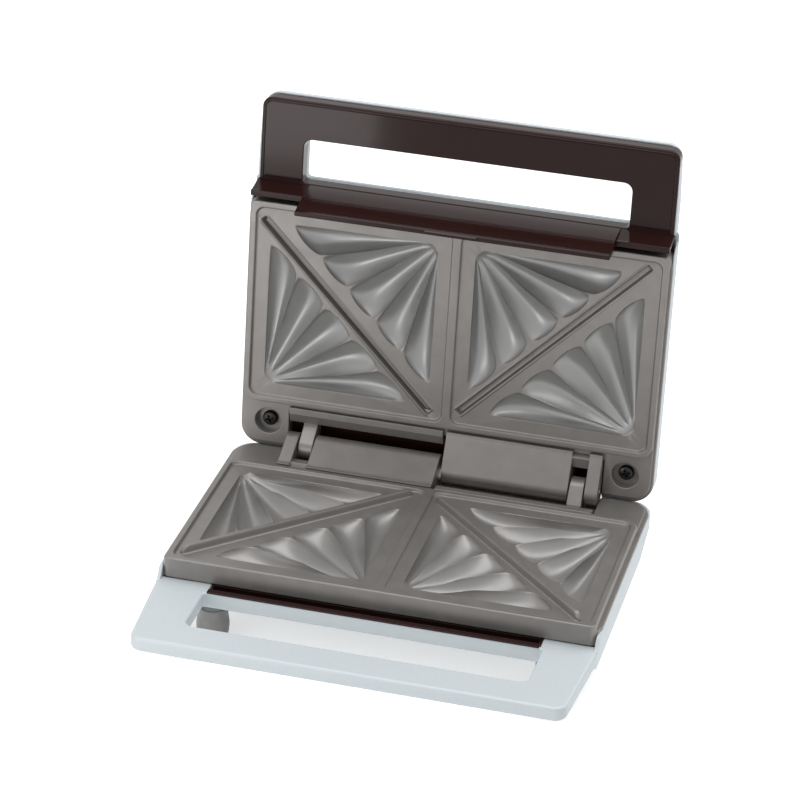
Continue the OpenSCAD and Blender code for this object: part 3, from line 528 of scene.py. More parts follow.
def pocket_depth(s, t):
    """Depth of a pocket below the compartment's floor, easing to nothing all round its edge.

    s runs from the apex to the fan, and t across the flutes."""
    deepest, ridge, soft = 0.72, 0.94, 0.9
    if s < deepest:
        fall = 0.4 + 0.6 * math.sin(math.pi / 2 * s / deepest)
    else:
        fall = math.sqrt(max(0, 1 - ((s - deepest) / (1 - deepest)) ** 2))
    k = min(math.floor(t * FLUTES), FLUTES - 1)
    f = t * FLUTES - k
    v = abs(2 * f - 1)
    if (k == 0 and f < 0.5) or (k == FLUTES - 1 and f > 0.5):
        across = 1 - v**4
    else:
        across = 1 - ridge * min(1, max(0, s - 0.04) / 0.5) ** 0.85 * v * v
    start = math.sin(math.pi / 2 * min(1, s / 0.1))
    d = POCKET_D * fall * across * start
    return d * (d**3 / (d**3 + soft**3))


def pocket_rows():
    """Where a pocket's points lie: along it, close together near its ends, and across its flutes."""
    ss = [0, 0.02, 0.04, 0.06, 0.09, 0.12, 0.16, 0.2, 0.26, 0.32, 0.38, 0.44, 0.5, 0.56, 0.62, 0.67, 0.72]
    ss += [0.76, 0.8, 0.84, 0.875, 0.905, 0.93, 0.95, 0.965, 0.977, 0.986, 0.993, 0.997, 1]
    ts = []
    for k in range(FLUTES):
        lo = [0, 0.012, 0.03, 0.06, 0.1, 0.16, 0.24, 0.33, 0.42]
        ts += [(k + f) / FLUTES for f in lo + [0.5] + [1 - f for f in reversed(lo[1:])]]
    return ss, ts + [1.0]


def pocket(skin, side, far):
    """A fluted pocket beside the front inner corner, or the far one at the back; returns its outline."""
    ss, ts = pocket_rows()
    rows = []
    for s in ss:
        row = []
        for t in ts:
            fx, fy = fan(t)
            ax, ay = APEX_R * (1 - math.sin(math.pi / 2 * t)), APEX_R * (1 - math.cos(math.pi / 2 * t))
            px, py = LEG_LAND + ax + (fx - ax) * s, LEG_LAND + ay + (fy - ay) * s
            if far:
                px, py = COMP_W - px, COMP_D - py
            row.append((side * (DIVIDER / 2 + px), RIM + py, -RECESS - pocket_depth(s, t)))
        rows.append(row)
    skin.grid(rows, closed=False)
    return border(rows)


def along_diagonal(side, shift, u, v, z):
    """A point u along a compartment's diagonal from the back middle, v to its left, then moved by shift."""
    dx, dy = COMP_W / DIAG, -COMP_D / DIAG
    return (side * (DIVIDER / 2 + u * dx - v * dy) + shift, RIM + COMP_D + u * dy + v * dx, z)


def stations(side, shift, margin, ends, inset):
    """Places along a diagonal and how far each is from its end, close together near both ends.

    The end near a wall that the shift moves it towards stops earlier."""
    room = abs(shift) * 1.35
    u0 = margin + (room if side * shift < 0 else 0)
    u1 = DIAG - margin - (room if side * shift > 0 else 0)
    middle = [u0 + inset + (u1 - u0 - 2 * inset) * k / 7 for k in range(8)]
    us = [u0 + e for e in ends] + middle + [u1 - e for e in reversed(ends)]
    return [(u, max(0, min(u - u0, u1 - u))) for u in us]


def blade(skin, side):
    """Raised bar that cuts and seals a sandwich along its diagonal."""
    rows = []
    full = 2.4 + RECESS
    for u, off in stations(side, -SEAM_SHIFT, 5.0, [0, 0.2, 0.6, 1.4, 2.4, 3.4, 4.4, 5.4], 6):
        e = min(1, off / 4.0)
        h = full * (0.03 + 0.97 * math.sin(e * math.pi / 2) ** 0.8)
        w = 0.6 + 0.4 * min(1, e * 2.2)
        half = [(2.6, -0.02), (2.2, 0.03 * h), (1.95, 0.1 * h), (1.8, 0.22 * h), (1.55, 0.6 * h),
            (1.35, 0.88 * h), (1.1, 0.97 * h), (0.6, h), (0, h * 1.004)]
        line = half + [(-v, z) for v, z in reversed(half[:-1])]
        rows.append([along_diagonal(side, -SEAM_SHIFT, u, v * w, -RECESS + z) for v, z in line])
    skin.grid(rows)
    for row in (rows[0], rows[-1]):
        skin.add(row, [list(range(len(row)))])


def groove(skin, side):
    """Groove for the other plate's blade with a bead on each side; returns its outline."""
    half = [(3.7, 0), (3.45, 0.03), (3.2, 0.18), (2.95, 0.42), (2.65, 0.55), (2.35, 0.48), (2.1, 0.22),
        (1.95, -0.15), (1.85, -1.2), (1.65, -3.0), (1.3, -3.5), (0.6, -3.6), (0, -3.6)]
    line = half + [(-v, z) for v, z in reversed(half[:-1])]
    rows = []
    for u, off in stations(side, SEAM_SHIFT, 5.2, [0, 0.25, 0.6, 1.1, 1.8, 2.6], 4):
        e = min(1, off / 2.4)
        k = e * e * (3 - 2 * e)
        rows.append([along_diagonal(side, SEAM_SHIFT, u, v, -RECESS + z * k) for v, z in line])
    skin.grid(rows, closed=False)
    return border(rows)


def field(skin, upper):
    """The plate's body: its sides and rim, the compartments' floors and what lies in them."""
    outer = wide_loop(PLATE_W / 2, 0, FIELD_D, [3, 3, 9, 9], 10)
    rows = rolled(outer, -PLATE_T, 0.6, 3, -1)[::-1] + rolled(outer, 0, 0.8, 5)
    skin.grid(rows)
    skin.level(flat(rows[0]), [], -PLATE_T)
    right = box_loop(DIVIDER / 2, DIVIDER / 2 + COMP_W, RIM, RIM + COMP_D, 5, 10)
    openings = []
    for side, loop in ((1, right), (-1, mirrored(right))):
        walls = rolled(loop, 0, 0.6, 4, 1, -1)[::-1] + rolled(shrink(loop, 0.25), -RECESS, 0.9, 4, -1)
        skin.grid(walls)
        openings.append(flat(walls[0]))
        holes = [pocket(skin, side, far) for far in (False, True)]
        if upper:
            holes.append(groove(skin, side))
        else:
            blade(skin, side)
        skin.level(flat(walls[-1]), holes, -RECESS)
    skin.level(flat(rows[-1]), openings, 0)


def ears(skin, upper):
    """The plate's back corners beside the hinge; the upper plate's take a screw each."""
    right = box_loop(HINGE_HALF + RUN, PLATE_W / 2 - 0.03, 112.5, EAR_BACK, [0.7, 0.7, 10, 1.5], 10)
    for side, ear in ((1, right), (-1, mirrored(right))):
        holes = [ring(side * EAR_X, EAR_Y, EAR_R, 48)] if upper else []
        skin.slab(ear, -PLATE_T + 0.02, -EAR_DROP, 0.6, 0.3, holes, 0.5, 0)
        if upper:
            bore = [(0, -PLATE_T + 3), (EAR_R, -PLATE_T + 3), (EAR_R, -PLATE_T + 0.1)]
            skin.turned(bore, (side * EAR_X, EAR_Y, 0))


def touch(y, z, r):
    """Where a line from a point in Y and Z touches a circle about the hinge's axis."""
    dy, dz = HINGE_Y - y, HINGE_Z - z
    l = math.hypot(dy, dz)
    lean = math.asin(r / l) + math.atan2(dz, dy)
    k = math.sqrt(l * l - r * r)
    return y + k * math.cos(lean), z + k * math.sin(lean)


def knuckle(front, point, r):
    """A profile that slopes from a point up to the knuckle's circle and goes round it."""
    ty, tz = touch(*point, r)
    a0 = math.atan2(tz - HINGE_Z, ty - HINGE_Y)
    turn = (-math.pi / 2 - a0) / 36
    arc = [(HINGE_Y + r * math.cos(a0 + turn * k), HINGE_Z + r * math.sin(a0 + turn * k)) for k in range(37)]
    return (front + [point] + arc + [(HINGE_Y - 5, -PLATE_T)])[::-1]


def hinge_side(skin):
    """Strip, knuckles and lug: the left half carries knuckles, and the right half a lug."""
    front = [(STRIP_FRONT, -PLATE_T), (STRIP_FRONT, -0.7), (STRIP_FRONT + 0.2, -0.25), (STRIP_FRONT + 0.7, 0)]
    barrel = knuckle(front, (STRIP_Y, 0), KNUCKLE_R)
    by, bz = touch(STRIP_Y, 0, KNUCKLE_R)
    strip_z = -GAP - RUN
    end_z = strip_z - bz / (by - STRIP_Y) * (STRIP_END - STRIP_Y)
    front = [(STRIP_END - 3, -PLATE_T), (STRIP_END - 3, end_z)]
    lug = knuckle(front, (STRIP_END + 1.2, end_z), KNUCKLE_R - 0.6)
    strip = rounded([(STRIP_FRONT, -PLATE_T, 0.3), (STRIP_END, -PLATE_T, 0.4), (STRIP_END, end_z, 0.6),
        (STRIP_Y, strip_z, 0.5), (STRIP_FRONT, strip_z, 0.5)], 4)
    slot_x0 = HINGE_HALF - END_W - LUG_W - 2 * RUN
    slot_x1 = HINGE_HALF - END_W
    skin.bar(strip, 1, HINGE_HALF, 0.35)
    skin.bar(lug, slot_x0 + RUN, slot_x0 + RUN + LUG_W, 0.6)
    skin.bar(barrel, -slot_x0, -1, 0.6)
    skin.bar(barrel, -HINGE_HALF, -slot_x1, 0.6)
    block = rounded([(STRIP_Y - 2, -PLATE_T), (STRIP_END + 0.5, -PLATE_T), (STRIP_END + 0.5, -1.2),
        (STRIP_Y, -0.2), (STRIP_Y - 2, -EAR_DROP)], 3, 0.3)
    skin.bar(block, -slot_x1 - 1, -slot_x0 + 1, 0.05)
    ledge = box_loop(FIELD_D - 9, STRIP_Y, -PLATE_T, -EAR_DROP - 0.02, 0.3, 3)
    skin.bar(ledge, -HINGE_HALF - RUN - 0.4, HINGE_HALF + RUN + 0.4, 0.05)


def flanges(skin, upper):
    """The thin edge over the casing's rim, and under it a heel that closes the gap to the casing."""
    half = PLATE_W / 2
    edge = 121.4 if upper else 122.4
    back = EAR_BACK + (2.2 if upper else 0.2)
    lip = rounded([(half - 0.6, 0.5, 0.3), (edge, 9, 5), (edge, back, 12), (HINGE_HALF + 0.3, back, 0.6),
        (HINGE_HALF + 0.3, EAR_BACK - 3.8, 0.6), (EAR_X + 3, EAR_BACK - 3.8, 1),
        (EAR_X + 10.5, EAR_BACK - 11.4, 1), (half - 4, 0.5, 0.3)], 10)
    skin.slabs(lip, -EDGE + 0.05, -EDGE + 1.5, 0.5, 0.2)
    heel = rounded([(half - 4, 0.55, 0.2), (120.3, 0.8, 2.4), (120.3, 14, 0.2), (half - 4, 14, 0.2)], 8)
    skin.slabs(heel, -PLATE_T, -EDGE + 0.8, 0.3, 0.2)
    if not upper:
        shelf = box_loop(STRIP_END - 1, EAR_BACK + 2, -9.6, -8, 0.3, 3)
        skin.bar(shelf, 1, HINGE_HALF + RUN, 0.05)


def mark_hollows(obj, to_half, most):
    """Gives each point in a pocket the value that sets the painted sheen, full where the pocket is deep."""
    hollow = obj.data.attributes.new("hollow", "FLOAT", "POINT")
    for v in obj.data.vertices:
        x, y, z = to_half @ v.co
        off_seam = abs(abs(x) - 4 + y - (FIELD_D - 4)) / math.sqrt(2)
        in_field = abs(x) < PLATE_W / 2 - 5 and 5 < y < FIELD_D - 5 and off_seam > 7 and z > 1.5 - PLATE_T
        depth = min(1, max(0, (-z - RECESS - 0.15) / 1.8))
        hollow.data[v.index].value = depth * most if in_field else 0


# the last value is how much painted sheen a plate's pockets get: less on the lower plate, which the lamps
# already light more
for half_name, place, body, most in (("lower", IN_BASE, "base", 0.45), ("upper", IN_LID, "lid", 1)):
    skin = Skin()
    upper = half_name == "upper"
    field(skin, upper)
    ears(skin, upper)
    hinge_side(skin)
    flanges(skin, upper)
    obj = piece(f"{half_name}_plate_casting", skin, place, body, "coated_casting", f"{half_name}_plate")
    mark_hollows(obj, place.inverted(), most)

# ---- casings ----

# half the width, depth of the floor below the seam, wall, where the sides start to taper
HALF_W, BELLY, WALL, CREASE, LEAN = 122.5, 38, 2, 15.5, 3.5
FRONT, BASE_BACK, LID_BACK = -10, 155, 151.6
# handles: depth of their inner faces, thickness, reach in front of the plates, front bar, window
BASE_DECK, BASE_HANDLE, BASE_REACH, BASE_BAR = 12.5, 8.5, 66, 21
LID_DECK, LID_HANDLE, LID_REACH, LID_BAR = 14.5, 12.5, 60, 24.5
WINDOW, GUTTER = 93.8, 92.3
LID_HALF, LID_LEAN, CROWN = 121.6, 8, 1.6
FRAME_FOOT, FRAME_HALF = -20.6, 118.8
# feet: places, height, radii of foot and neck; casing screws; lenses in the lid
FOOT_X, FOOT_FRONT, FOOT_REAR, FOOT_H, FOOT_R, NECK_R = 95, 13, 128, 16, 9.2, 8.4
BOSS_X, BOSSES = 113, (30, 98)
LENS_X, LENS_Y, LENS_R = 14, 30, 4.4


def crowned(x, y, z, crown):
    """A point of a casing, lower towards the middle where its outer face bulges."""
    if z >= -CREASE:
        return x, y, z
    k = 1 + crown / (BELLY - CREASE) * max(0, 1 - (x / (HALF_W - 9.5)) ** 2)
    return x, y, -CREASE + (z + CREASE) * k


def at_level(path, z):
    """Where a path of (distance, height) points, highest first, crosses a height."""
    for (a, za), (b, zb) in zip(path, path[1:]):
        if za >= z >= zb:
            return a if za - zb < 1e-9 else a + (b - a) * (za - z) / (za - zb)
    return path[-1][0] if z < path[-1][1] else path[0][0]


def tub(back, deck, crown, inset, z_top, half_w, lean):
    """Rings of the casing's form, from z_top down to its floor, with its edges rounded."""
    w, b, f, low = half_w - inset, back - inset, FRONT + inset, -BELLY + inset
    side = rounded([(w, 10), (w, -CREASE, 1.2), (w - lean, low, 6 - inset), (0, low)], 12)
    rear = rounded([(b, 10), (b, -CREASE, 1.2), (b - 7, low, 9 - inset), (0, low)], 12)
    nose = rounded([(f, 10), (f, -deck - BASE_HANDLE, 3), (20 + inset * 0.25, low, 10), (80, low)], 12)
    levels = {round(z, 4) for line in (side, rear, nose) for _, z in line if low <= z <= z_top}
    zs = sorted(levels | {z_top, low}, reverse=True)
    keep = [zs[0]]
    for z in zs[1:]:
        if keep[-1] - z > 0.12 or z == low:
            keep.append(z)
    n = 10
    rings = []
    for z in keep:
        zz = max(z, low + 1e-6)
        x1, y1, y0 = at_level(side[:-1], zz), at_level(rear[:-1], zz), at_level(nose[:-1], zz)
        corners = wide_loop(x1, y0, y1, [2.2, 2.2, 13 - inset, 13 - inset], n)
        loop = []
        for k in range(4):
            first, last = (n + 1) * k, (n + 1) * k + n
            (ax, ay), (bx, by) = corners[last], corners[(last + 1) % len(corners)]
            parts = 8 if k % 2 else 18
            loop += corners[first:last + 1]
            loop += [(ax + (bx - ax) * i / parts, ay + (by - ay) * i / parts) for i in range(1, parts)]
        rings.append([crowned(x, y, z, crown) for x, y in loop])
    return rings


def casing_body(back, deck, crown, z_top, cutters, half_w=HALF_W, lean=LEAN):
    """The hollow casing, open at z_top, with every cutter taken out of it."""
    skin = Skin()
    tops = []
    for inset in (0, WALL):
        rings = tub(back, deck, crown, inset, z_top, half_w, lean)
        tops.append(rings[0])
        skin.grid(rings)
        spots = [(-104 + 13 * i, y) for i in range(17) for y in (30, 50, 70, 90, 110, 130)] if crown else []
        skin.fill(flat(rings[-1]), [], lambda x, y: crowned(x, y, inset - BELLY, crown), spots)
    skin.grid(tops)
    return cut(skin, cutters)


def casing_rim(skin, back, z0, half_w=HALF_W, thick=WALL):
    """The upstanding edge round the sides and the back, lower where the knuckles pass."""
    gap = HINGE_HALF + 0.25
    ramp = [(half_w, -4.5 + 0.75 * k) for k in range(13)]
    arc = rounded([(half_w, 5), (half_w, back, 13), (-half_w, back, 13), (-half_w, 5)], 12)[1:-1]
    arc = ramp + arc + [(-x, y) for x, y in reversed(ramp)]
    path, tops = [], []
    for p, q in zip(arc, arc[1:] + [None]):
        path.append(p)
        rise = min(1, max(0, (p[1] + 4.5) / 7))
        tops.append(-EDGE - 6.6 * (1 - rise * rise * (3 - 2 * rise)))
        if q and p[0] > gap > q[0]:
            path += [(gap, back), (gap, back), (-gap, back), (-gap, back)]
            tops += [-EDGE, -10, -10, -EDGE]
    skin.wall(path, tops, z0, thick, min(0.7, thick / 2))


def handle_edge(outer, window):
    """Radius of the base handle's edge: one on its outside, a smaller one round its window."""
    return lambda x, y: window if abs(x) < WINDOW + 2.7 and y > BASE_BAR - BASE_REACH - 3 else outer


# ---- base casing: vents, holes for feet and screws, handle and the cord inlet's collar

base_low = -BASE_DECK - 2.1
cutters = []
for i in range(-4, 5):
    vent = Skin()
    vent.slab(box_loop(i * 12 - 2, i * 12 + 2, 84, 106, 1.95, 6), -BELLY - 2, -BELLY + 4, 0, 0)
    cutters.append(vent)
for side in (1, -1):
    cutters.append(rod(side * FOOT_X, FOOT_FRONT, -BELLY - 3, -BELLY + 5, NECK_R + 0.1, 64))
    cutters.append(rod(side * FOOT_X, FOOT_REAR, -BELLY - 3, -BELLY + 3.2, NECK_R + 0.1, 64))
    cutters += [rod(side * BOSS_X, y, -BELLY - 3, -BELLY + 2.2, 3.5) for y in BOSSES]
shell = casing_body(BASE_BACK, BASE_DECK, 0, base_low, cutters)
casing_rim(shell, BASE_BACK, base_low)
handle = symmetric([(118, -BASE_REACH, 7), (HALF_W - 0.02, -7, 30), (HALF_W - 0.02, 2, 2.4), (GUTTER, 2, 1.1),
    (GUTTER, FRONT, 0.3), (WINDOW, FRONT, 1.1), (WINDOW, BASE_BAR - BASE_REACH, 5)], 10)
handle_z = -BASE_DECK - BASE_HANDLE
shell.slab(divided(handle, 30), handle_z, -BASE_DECK, handle_edge(2.0, 1.0), handle_edge(2.2, 1.0), steps=6)
back_wall = box_loop(FRONT - 0.05, FRONT + 1.9, handle_z + 1.4, -BASE_DECK + 0.05, [0.02, 0.1, 0.5, 0.5], 4)
shell.bar(back_wall, -WINDOW - 0.3, WINDOW + 0.3, 0.05)
collar = [(4.25, -0.5), (4.6, 0), (6.8, 0), (7.5, -0.7), (7.5, -9), (4.25, -9), (4.25, -0.5)]
shell.turned(collar, (-70, BASE_BACK - 0.5, -25), "Y")
piece("base_casing", shell, IN_BASE, "base", "silver_paint", "base_shell", sharp=34)

# ---- lid casing: the same tub with a crown, its handle, and a thin cheek beside the brown frame

lid_low = -LID_DECK - 1.2
window_loop = wide_loop(WINDOW, -LID_REACH + LID_BAR, FRONT + 0.6, [5, 5, 2.5, 2.5], 10)
tunnel, recess = Skin(), Skin()
tunnel.slab(wide_loop(WINDOW, -20, FRONT + 0.6, [0, 0, 2.5, 2.5], 10), -LID_DECK - 10, -LID_DECK + 1, 0, 0)
recess.slab(wide_loop(WINDOW + 1.9, -20, FRONT + 2.5), FRAME_FOOT - 0.05, -LID_DECK + 1, 0, 0)
cutters = [tunnel, recess]
cutters += [rod(side * LENS_X, LENS_Y, -BELLY - 5, -BELLY + 4, LENS_R + 0.1, 48) for side in (1, -1)]
shell = casing_body(LID_BACK, LID_DECK, CROWN, lid_low, cutters, LID_HALF, LID_LEAN)
casing_rim(shell, LID_BACK, lid_low, LID_HALF, 1.1)
handle = divided(symmetric([(118.3, -LID_REACH + 1.4, 8), (119, -8, 25), (119.2, 3, 5.4)], 10), 30)
shell.slab(handle, -LID_DECK - LID_HANDLE, FRAME_FOOT - 0.1, 0.8, 4.6, [window_loop], 0.5, 1.4, steps=7)
cheek = rounded([(FRAME_HALF, 12 - LID_REACH), (FRAME_HALF + 0.9, 34 - LID_REACH, 20),
    (FRAME_HALF + 0.9, -8.5, 0.3), (FRAME_HALF, -8.5)], 8)
shell.slabs(cheek, FRAME_FOOT - 1, -PLATE_T - 1.2, 0.2, 0.1)
piece("lid_casing", shell, IN_LID, "lid", "silver_paint", "lid_shell", sharp=34)

# ---- linings ----

SEAT, FLANGE = -PLATE_T, -PLATE_T - 3  # where a plate stands, and the underside of what it stands on
LINER_HALF, LINER_BACK = 120.2, 148.5


def carrier(skin, holes):
    """Flange that a plate stands on, and the rib under it."""
    outer = wide_loop(LINER_HALF, 3, LINER_BACK, [3, 3, 12, 12], 10)
    opening = wide_loop(LINER_HALF - 14, 8, FIELD_D - 4, 3, 6)
    skin.slab(outer, FLANGE, SEAT - 0.03, 0.5, 0.3, [opening] + holes, 0.3, 0.2, steps=3)
    rib = wide_loop(LINER_HALF - 12, 6, FIELD_D - 2, 4, 6)
    inner = wide_loop(LINER_HALF - 14.05, 8.05, FIELD_D - 4.05, 3, 6)
    skin.slab(rib, FLANGE - 5, FLANGE - 0.02, 0.1, 0.4, [inner], 0.1, 0.2, steps=2)


def tube_post(skin, x, y, z0, r, bore):
    """A screw post that hangs under the flange."""
    z1 = FLANGE - 0.1
    line = [(bore, z0), (bore, z1), (r - 0.3, z1), (r, z1 - 0.3), (r, z0 + 0.3), (r - 0.3, z0), (bore, z0)]
    skin.turned(line, (x, y, 0), n=28)


# ---- base lining with its trough, which is open in the middle for the lid's tab

TROUGH_FRONT, TROUGH_BACK, TROUGH_T, TROUGH_LIP = FRONT + WALL + 0.3, 0.2, 1.4, -11.4
SLOT_HALF, SLOT_FRONT = 16.5, -5.4


def under(y):
    """Underside of the trough, just above the casing's sloping belly."""
    slope = (BELLY - BASE_DECK - BASE_HANDLE) / (20 - FRONT - WALL * 0.75)
    return WALL - BASE_DECK - BASE_HANDLE - slope * (y - FRONT - WALL) + 0.36


liner = Skin()
carrier(liner, [ring(s * (PLATE_W / 2 - 6), y, 2) for s in (1, -1) for y in (8, FIELD_D - 8)])
y0, y1, y2 = TROUGH_FRONT, TROUGH_FRONT + TROUGH_T, TROUGH_BACK + TROUGH_T
outside = [(y0, TROUGH_LIP - 1, 0.2), (y0, under(y0), 0.8)]
within = [(y1, under(y1) + TROUGH_T, 1), (y1, TROUGH_LIP, 0.5), (FRONT - 0.25, TROUGH_LIP, 0.35),
    (FRONT - 0.25, TROUGH_LIP - 1, 0.35)]
riser = [(y2, under(y2), 0.5), (y2, SEAT - 0.6, 0.3), (TROUGH_BACK, SEAT - 0.6, 0.3)]
trough = outside + riser + [(TROUGH_BACK, under(TROUGH_BACK) + TROUGH_T, 1)] + within
before_slot = [(SLOT_FRONT, under(SLOT_FRONT), 0.2), (SLOT_FRONT, under(SLOT_FRONT) + TROUGH_T, 0.2)]
before_slot = outside + before_slot + within
behind_slot = [(TROUGH_BACK, under(TROUGH_BACK), 0.2)] + riser
liner.bars(rounded(trough, 5), SLOT_HALF, GUTTER - 0.3, 0.2)
liner.bar(rounded(before_slot, 5), -SLOT_HALF - 0.1, SLOT_HALF + 0.1, 0.05)
liner.bar(rounded(behind_slot, 4), -SLOT_HALF - 0.1, SLOT_HALF + 0.1, 0.05)
end = rounded([(y0 + 1, -BASE_DECK - 0.4), (y0 + 1, under(y0 + 1) + 1), (0.6, under(0.6) + 1),
    (0.6, -BASE_DECK - 0.4)], 3, 0.4)
liner.bars(end, GUTTER - 1.8, GUTTER - 0.35, 0.3)
for side in (1, -1):
    for y in BOSSES:
        tube_post(liner, side * BOSS_X, y, -BELLY + 5, 4, 1.3)
piece("base_lining", liner, IN_BASE, "base", "brown_plastic", "base_liner", sharp=34)

# ---- lid lining: frame of the handle, skirt and side lips

SKIRT_FRONT, SKIRT_FOOT, SKIRT_HALF, SKIRT_END = -9, -2.8, 89.5, 19
SIDE_END, SIDE_LIP, LINER_T = 2.5, 2.7, 1.8
FRAME_END = LID_REACH - 2.4


def lean_y(z):
    """Front face of the side lips and of the skirt's ends."""
    return SKIRT_FRONT + (SKIRT_FOOT - SKIRT_FRONT) * (z + PLATE_T) / (SKIRT_END + PLATE_T)


def curve_y(t):
    """Front face of the skirt: level beside the frame, steeper towards its lip."""
    return SKIRT_FRONT + (SKIRT_FOOT - SKIRT_FRONT) * (0.2 * t + 0.8 * t * t)


liner = Skin()
holes = [ring(s * (PLATE_W / 2 - 6), 8, 2) for s in (1, -1)]
carrier(liner, holes + [ring(s * BOSS_X, y, 3.3) for s in (1, -1) for y in BOSSES])
face = divided(wide_loop(FRAME_HALF, -FRAME_END, -7.6, [6, 6, 1.4, 1.4], 10), 40)
liner.slab(face, FRAME_FOOT, SEAT, 1.3, 0.3, [window_loop], 0.55, 0.3, steps=6)
lip_half = LINER_HALF - 0.6
liner.slab(wide_loop(lip_half, -9, 2.5, 0.6, 4), SEAT - 2.4, SEAT - 0.02, 0.3, 0.3)
bead = []
for k in range(9):
    d = 1.35 + 1.1 * k / 8
    path = wide_loop(FRAME_HALF - d, d - FRAME_END, -7.9 - 0.2 * d, [6 - d, 6 - d, 0.1, 0.1], 10)
    bead.append([(x, y, SEAT - 0.03 + 0.42 * math.sin(math.pi * k / 8)) for x, y in path])
liner.grid(bead + bead[:1])

# skirt: leaning panel with a bead along its lip and a flange down each end
bow = [(curve_y(k / 10), SEAT + (SKIRT_END + PLATE_T) * k / 10) for k in range(1, 10)]
front = [(SKIRT_FRONT, SEAT - 2, 0.2), (SKIRT_FRONT, SEAT, 0.8)] + [(y, z, 1.5) for y, z in bow[:-1]]
front += [(*bow[-1], 0.4), (SKIRT_FOOT - 0.85, SKIRT_END - 1.7, 0.4), (SKIRT_FOOT - 0.7, SKIRT_END, 0.55)]
behind = [(SKIRT_FOOT, SKIRT_END, 0.6), (SKIRT_FOOT, SKIRT_END - 1.4, 0.6)]
behind += [(y, z, 1.5) for y, z in reversed(bow[:-1])]
behind += [(SKIRT_FRONT, SEAT, 1.5), (SKIRT_FRONT, SEAT - 2, 0.2)]
skirt = front + [(y + LINER_T, z, r) for y, z, r in behind]
liner.bar(rounded(skirt[::-1], 5), -SKIRT_HALF, SKIRT_HALF, 0.6)
y0 = lean_y(SIDE_END)
side_lip = [(SKIRT_FRONT + LINER_T, SEAT - 2, 0.2), (SKIRT_FRONT + LINER_T, SEAT, 1),
    (y0 + LINER_T, SIDE_END - 2, 0.5), (y0 + SIDE_LIP, SIDE_END - 2, 0.4), (y0 + SIDE_LIP, SIDE_END, 0.5),
    (y0 - 0.7, SIDE_END, 0.55), (y0 - 0.75, SIDE_END - 1.5, 0.5),
    (lean_y(SIDE_END - 2) - 0.02, SIDE_END - 2, 0.6), (SKIRT_FRONT, SEAT, 1.2), (SKIRT_FRONT, SEAT - 2, 0.2)]
liner.bars(rounded(side_lip, 5), SKIRT_HALF + 0.02, lip_half, 0.35)
flange = [(y0 + 2, SEAT - 1), (y0 + SIDE_LIP - 0.5, SIDE_END - 6), (SKIRT_FOOT + LINER_T, -1),
    (SKIRT_FOOT + LINER_T - 0.1, SKIRT_END - 1), (lean_y(SKIRT_END - 2.5) + 0.6, SKIRT_END - 2.5),
    (SKIRT_FRONT + 0.8, SEAT - 1)]
liner.bars(rounded(flange, 3, 0.4), SKIRT_HALF - 1.9, SKIRT_HALF - 0.05, 0.3)
tab = box_loop(SKIRT_FOOT - 0.6, SKIRT_FOOT + 1, SKIRT_END - 1, SKIRT_END + 2.1, [0.1, 0.1, 0.5, 0.5], 4)
liner.bar(tab, -15, 15, 0.7)
for side in (1, -1):
    for y in BOSSES:
        tube_post(liner, side * BOSS_X, y, FLANGE - 1.5, 4, 2)
    tube_post(liner, side * EAR_X, EAR_Y, FLANGE - 9, 4.5, 1.3)
piece("lid_lining", liner, IN_LID, "lid", "brown_plastic", "lid_liner", sharp=34)

# ---- feet, pins, screws and lenses: turned profiles of (radius, height) ----


def foot(name, x, y, neck, dish, node):
    """A flared foot whose neck stands in the casing's floor, with a dish in its top for a disc."""
    body = FOOT_H - 2
    top = body + neck
    line = [(0, 0), (NECK_R - 1.1, 0), (NECK_R - 0.7, 0.12), (NECK_R - 0.4, 0.45)]
    for k in range(17):
        line.append((NECK_R + (FOOT_R - NECK_R) * math.sin(math.pi * k / 16), 1 + (body - 1) * k / 16))
    line += [(NECK_R, top - 0.8), (NECK_R - 0.1, top - 0.45), (NECK_R - 0.4, top - 0.12), (NECK_R - 0.8, top)]
    if dish:
        line += [(6.75, top), (6.58, top - 0.05), (6.5, top - 0.2), (6.5, top - dish)]
    line += [(0, top - dish)]
    skin = Skin()
    skin.turned(line, (x, y, -BELLY - body), n=56)
    piece(name, skin, IN_BASE, "base", "foot_plastic", node)


for row, y, neck, dish in (("front", FOOT_FRONT, 5, 1.2), ("rear", FOOT_REAR, 3, 0)):
    for side, x in (("left", -FOOT_X), ("right", FOOT_X)):
        foot(f"{row}_{side}_foot", x, y, neck, dish, f"foot_{row}_{side}")

discs = Skin()
disc = [(0, -1.19), (6.2, -1.19), (6.45, -1.0), (6.45, -0.45), (6.3, -0.25), (6.0, -0.2), (0, -0.2)]
for side in (1, -1):
    discs.turned(disc, (side * FOOT_X, FOOT_FRONT, -BELLY + 5), n=40)
piece("front_foot_discs", discs, IN_BASE, "base", "light_plastic", "foot_discs")

soles = Skin()
sole = [(0, 0), (5.9, 0), (6.5, 0.1), (6.9, 0.4), (7.0, 0.8), (7.0, 1.99), (0, 1.99)]
for side in (1, -1):
    for y in (FOOT_FRONT, FOOT_REAR):
        soles.turned(sole, (side * FOOT_X, y, -BELLY - FOOT_H), n=44)
piece("foot_soles", soles, IN_BASE, "base", "foot_rubber", "foot_pads")

pin_start, pin_end = -HINGE_HALF - 0.4, -HINGE_HALF + 33.6
pin = [(0, pin_start), (2.0, pin_start), (2.35, pin_start + 0.12), (2.5, pin_start + 0.5),
    (2.5, pin_end - 0.5), (2.35, pin_end - 0.1), (2.0, pin_end), (0, pin_end)]
for side, place, body in (("left", IN_BASE, "base"), ("right", IN_LID, "lid")):
    skin = Skin()
    skin.turned(pin, (0, HINGE_Y, HINGE_Z), "X", 36)
    piece(f"{side}_hinge_pin", skin, place, body, "pin_steel", f"hinge_pin_{side}")


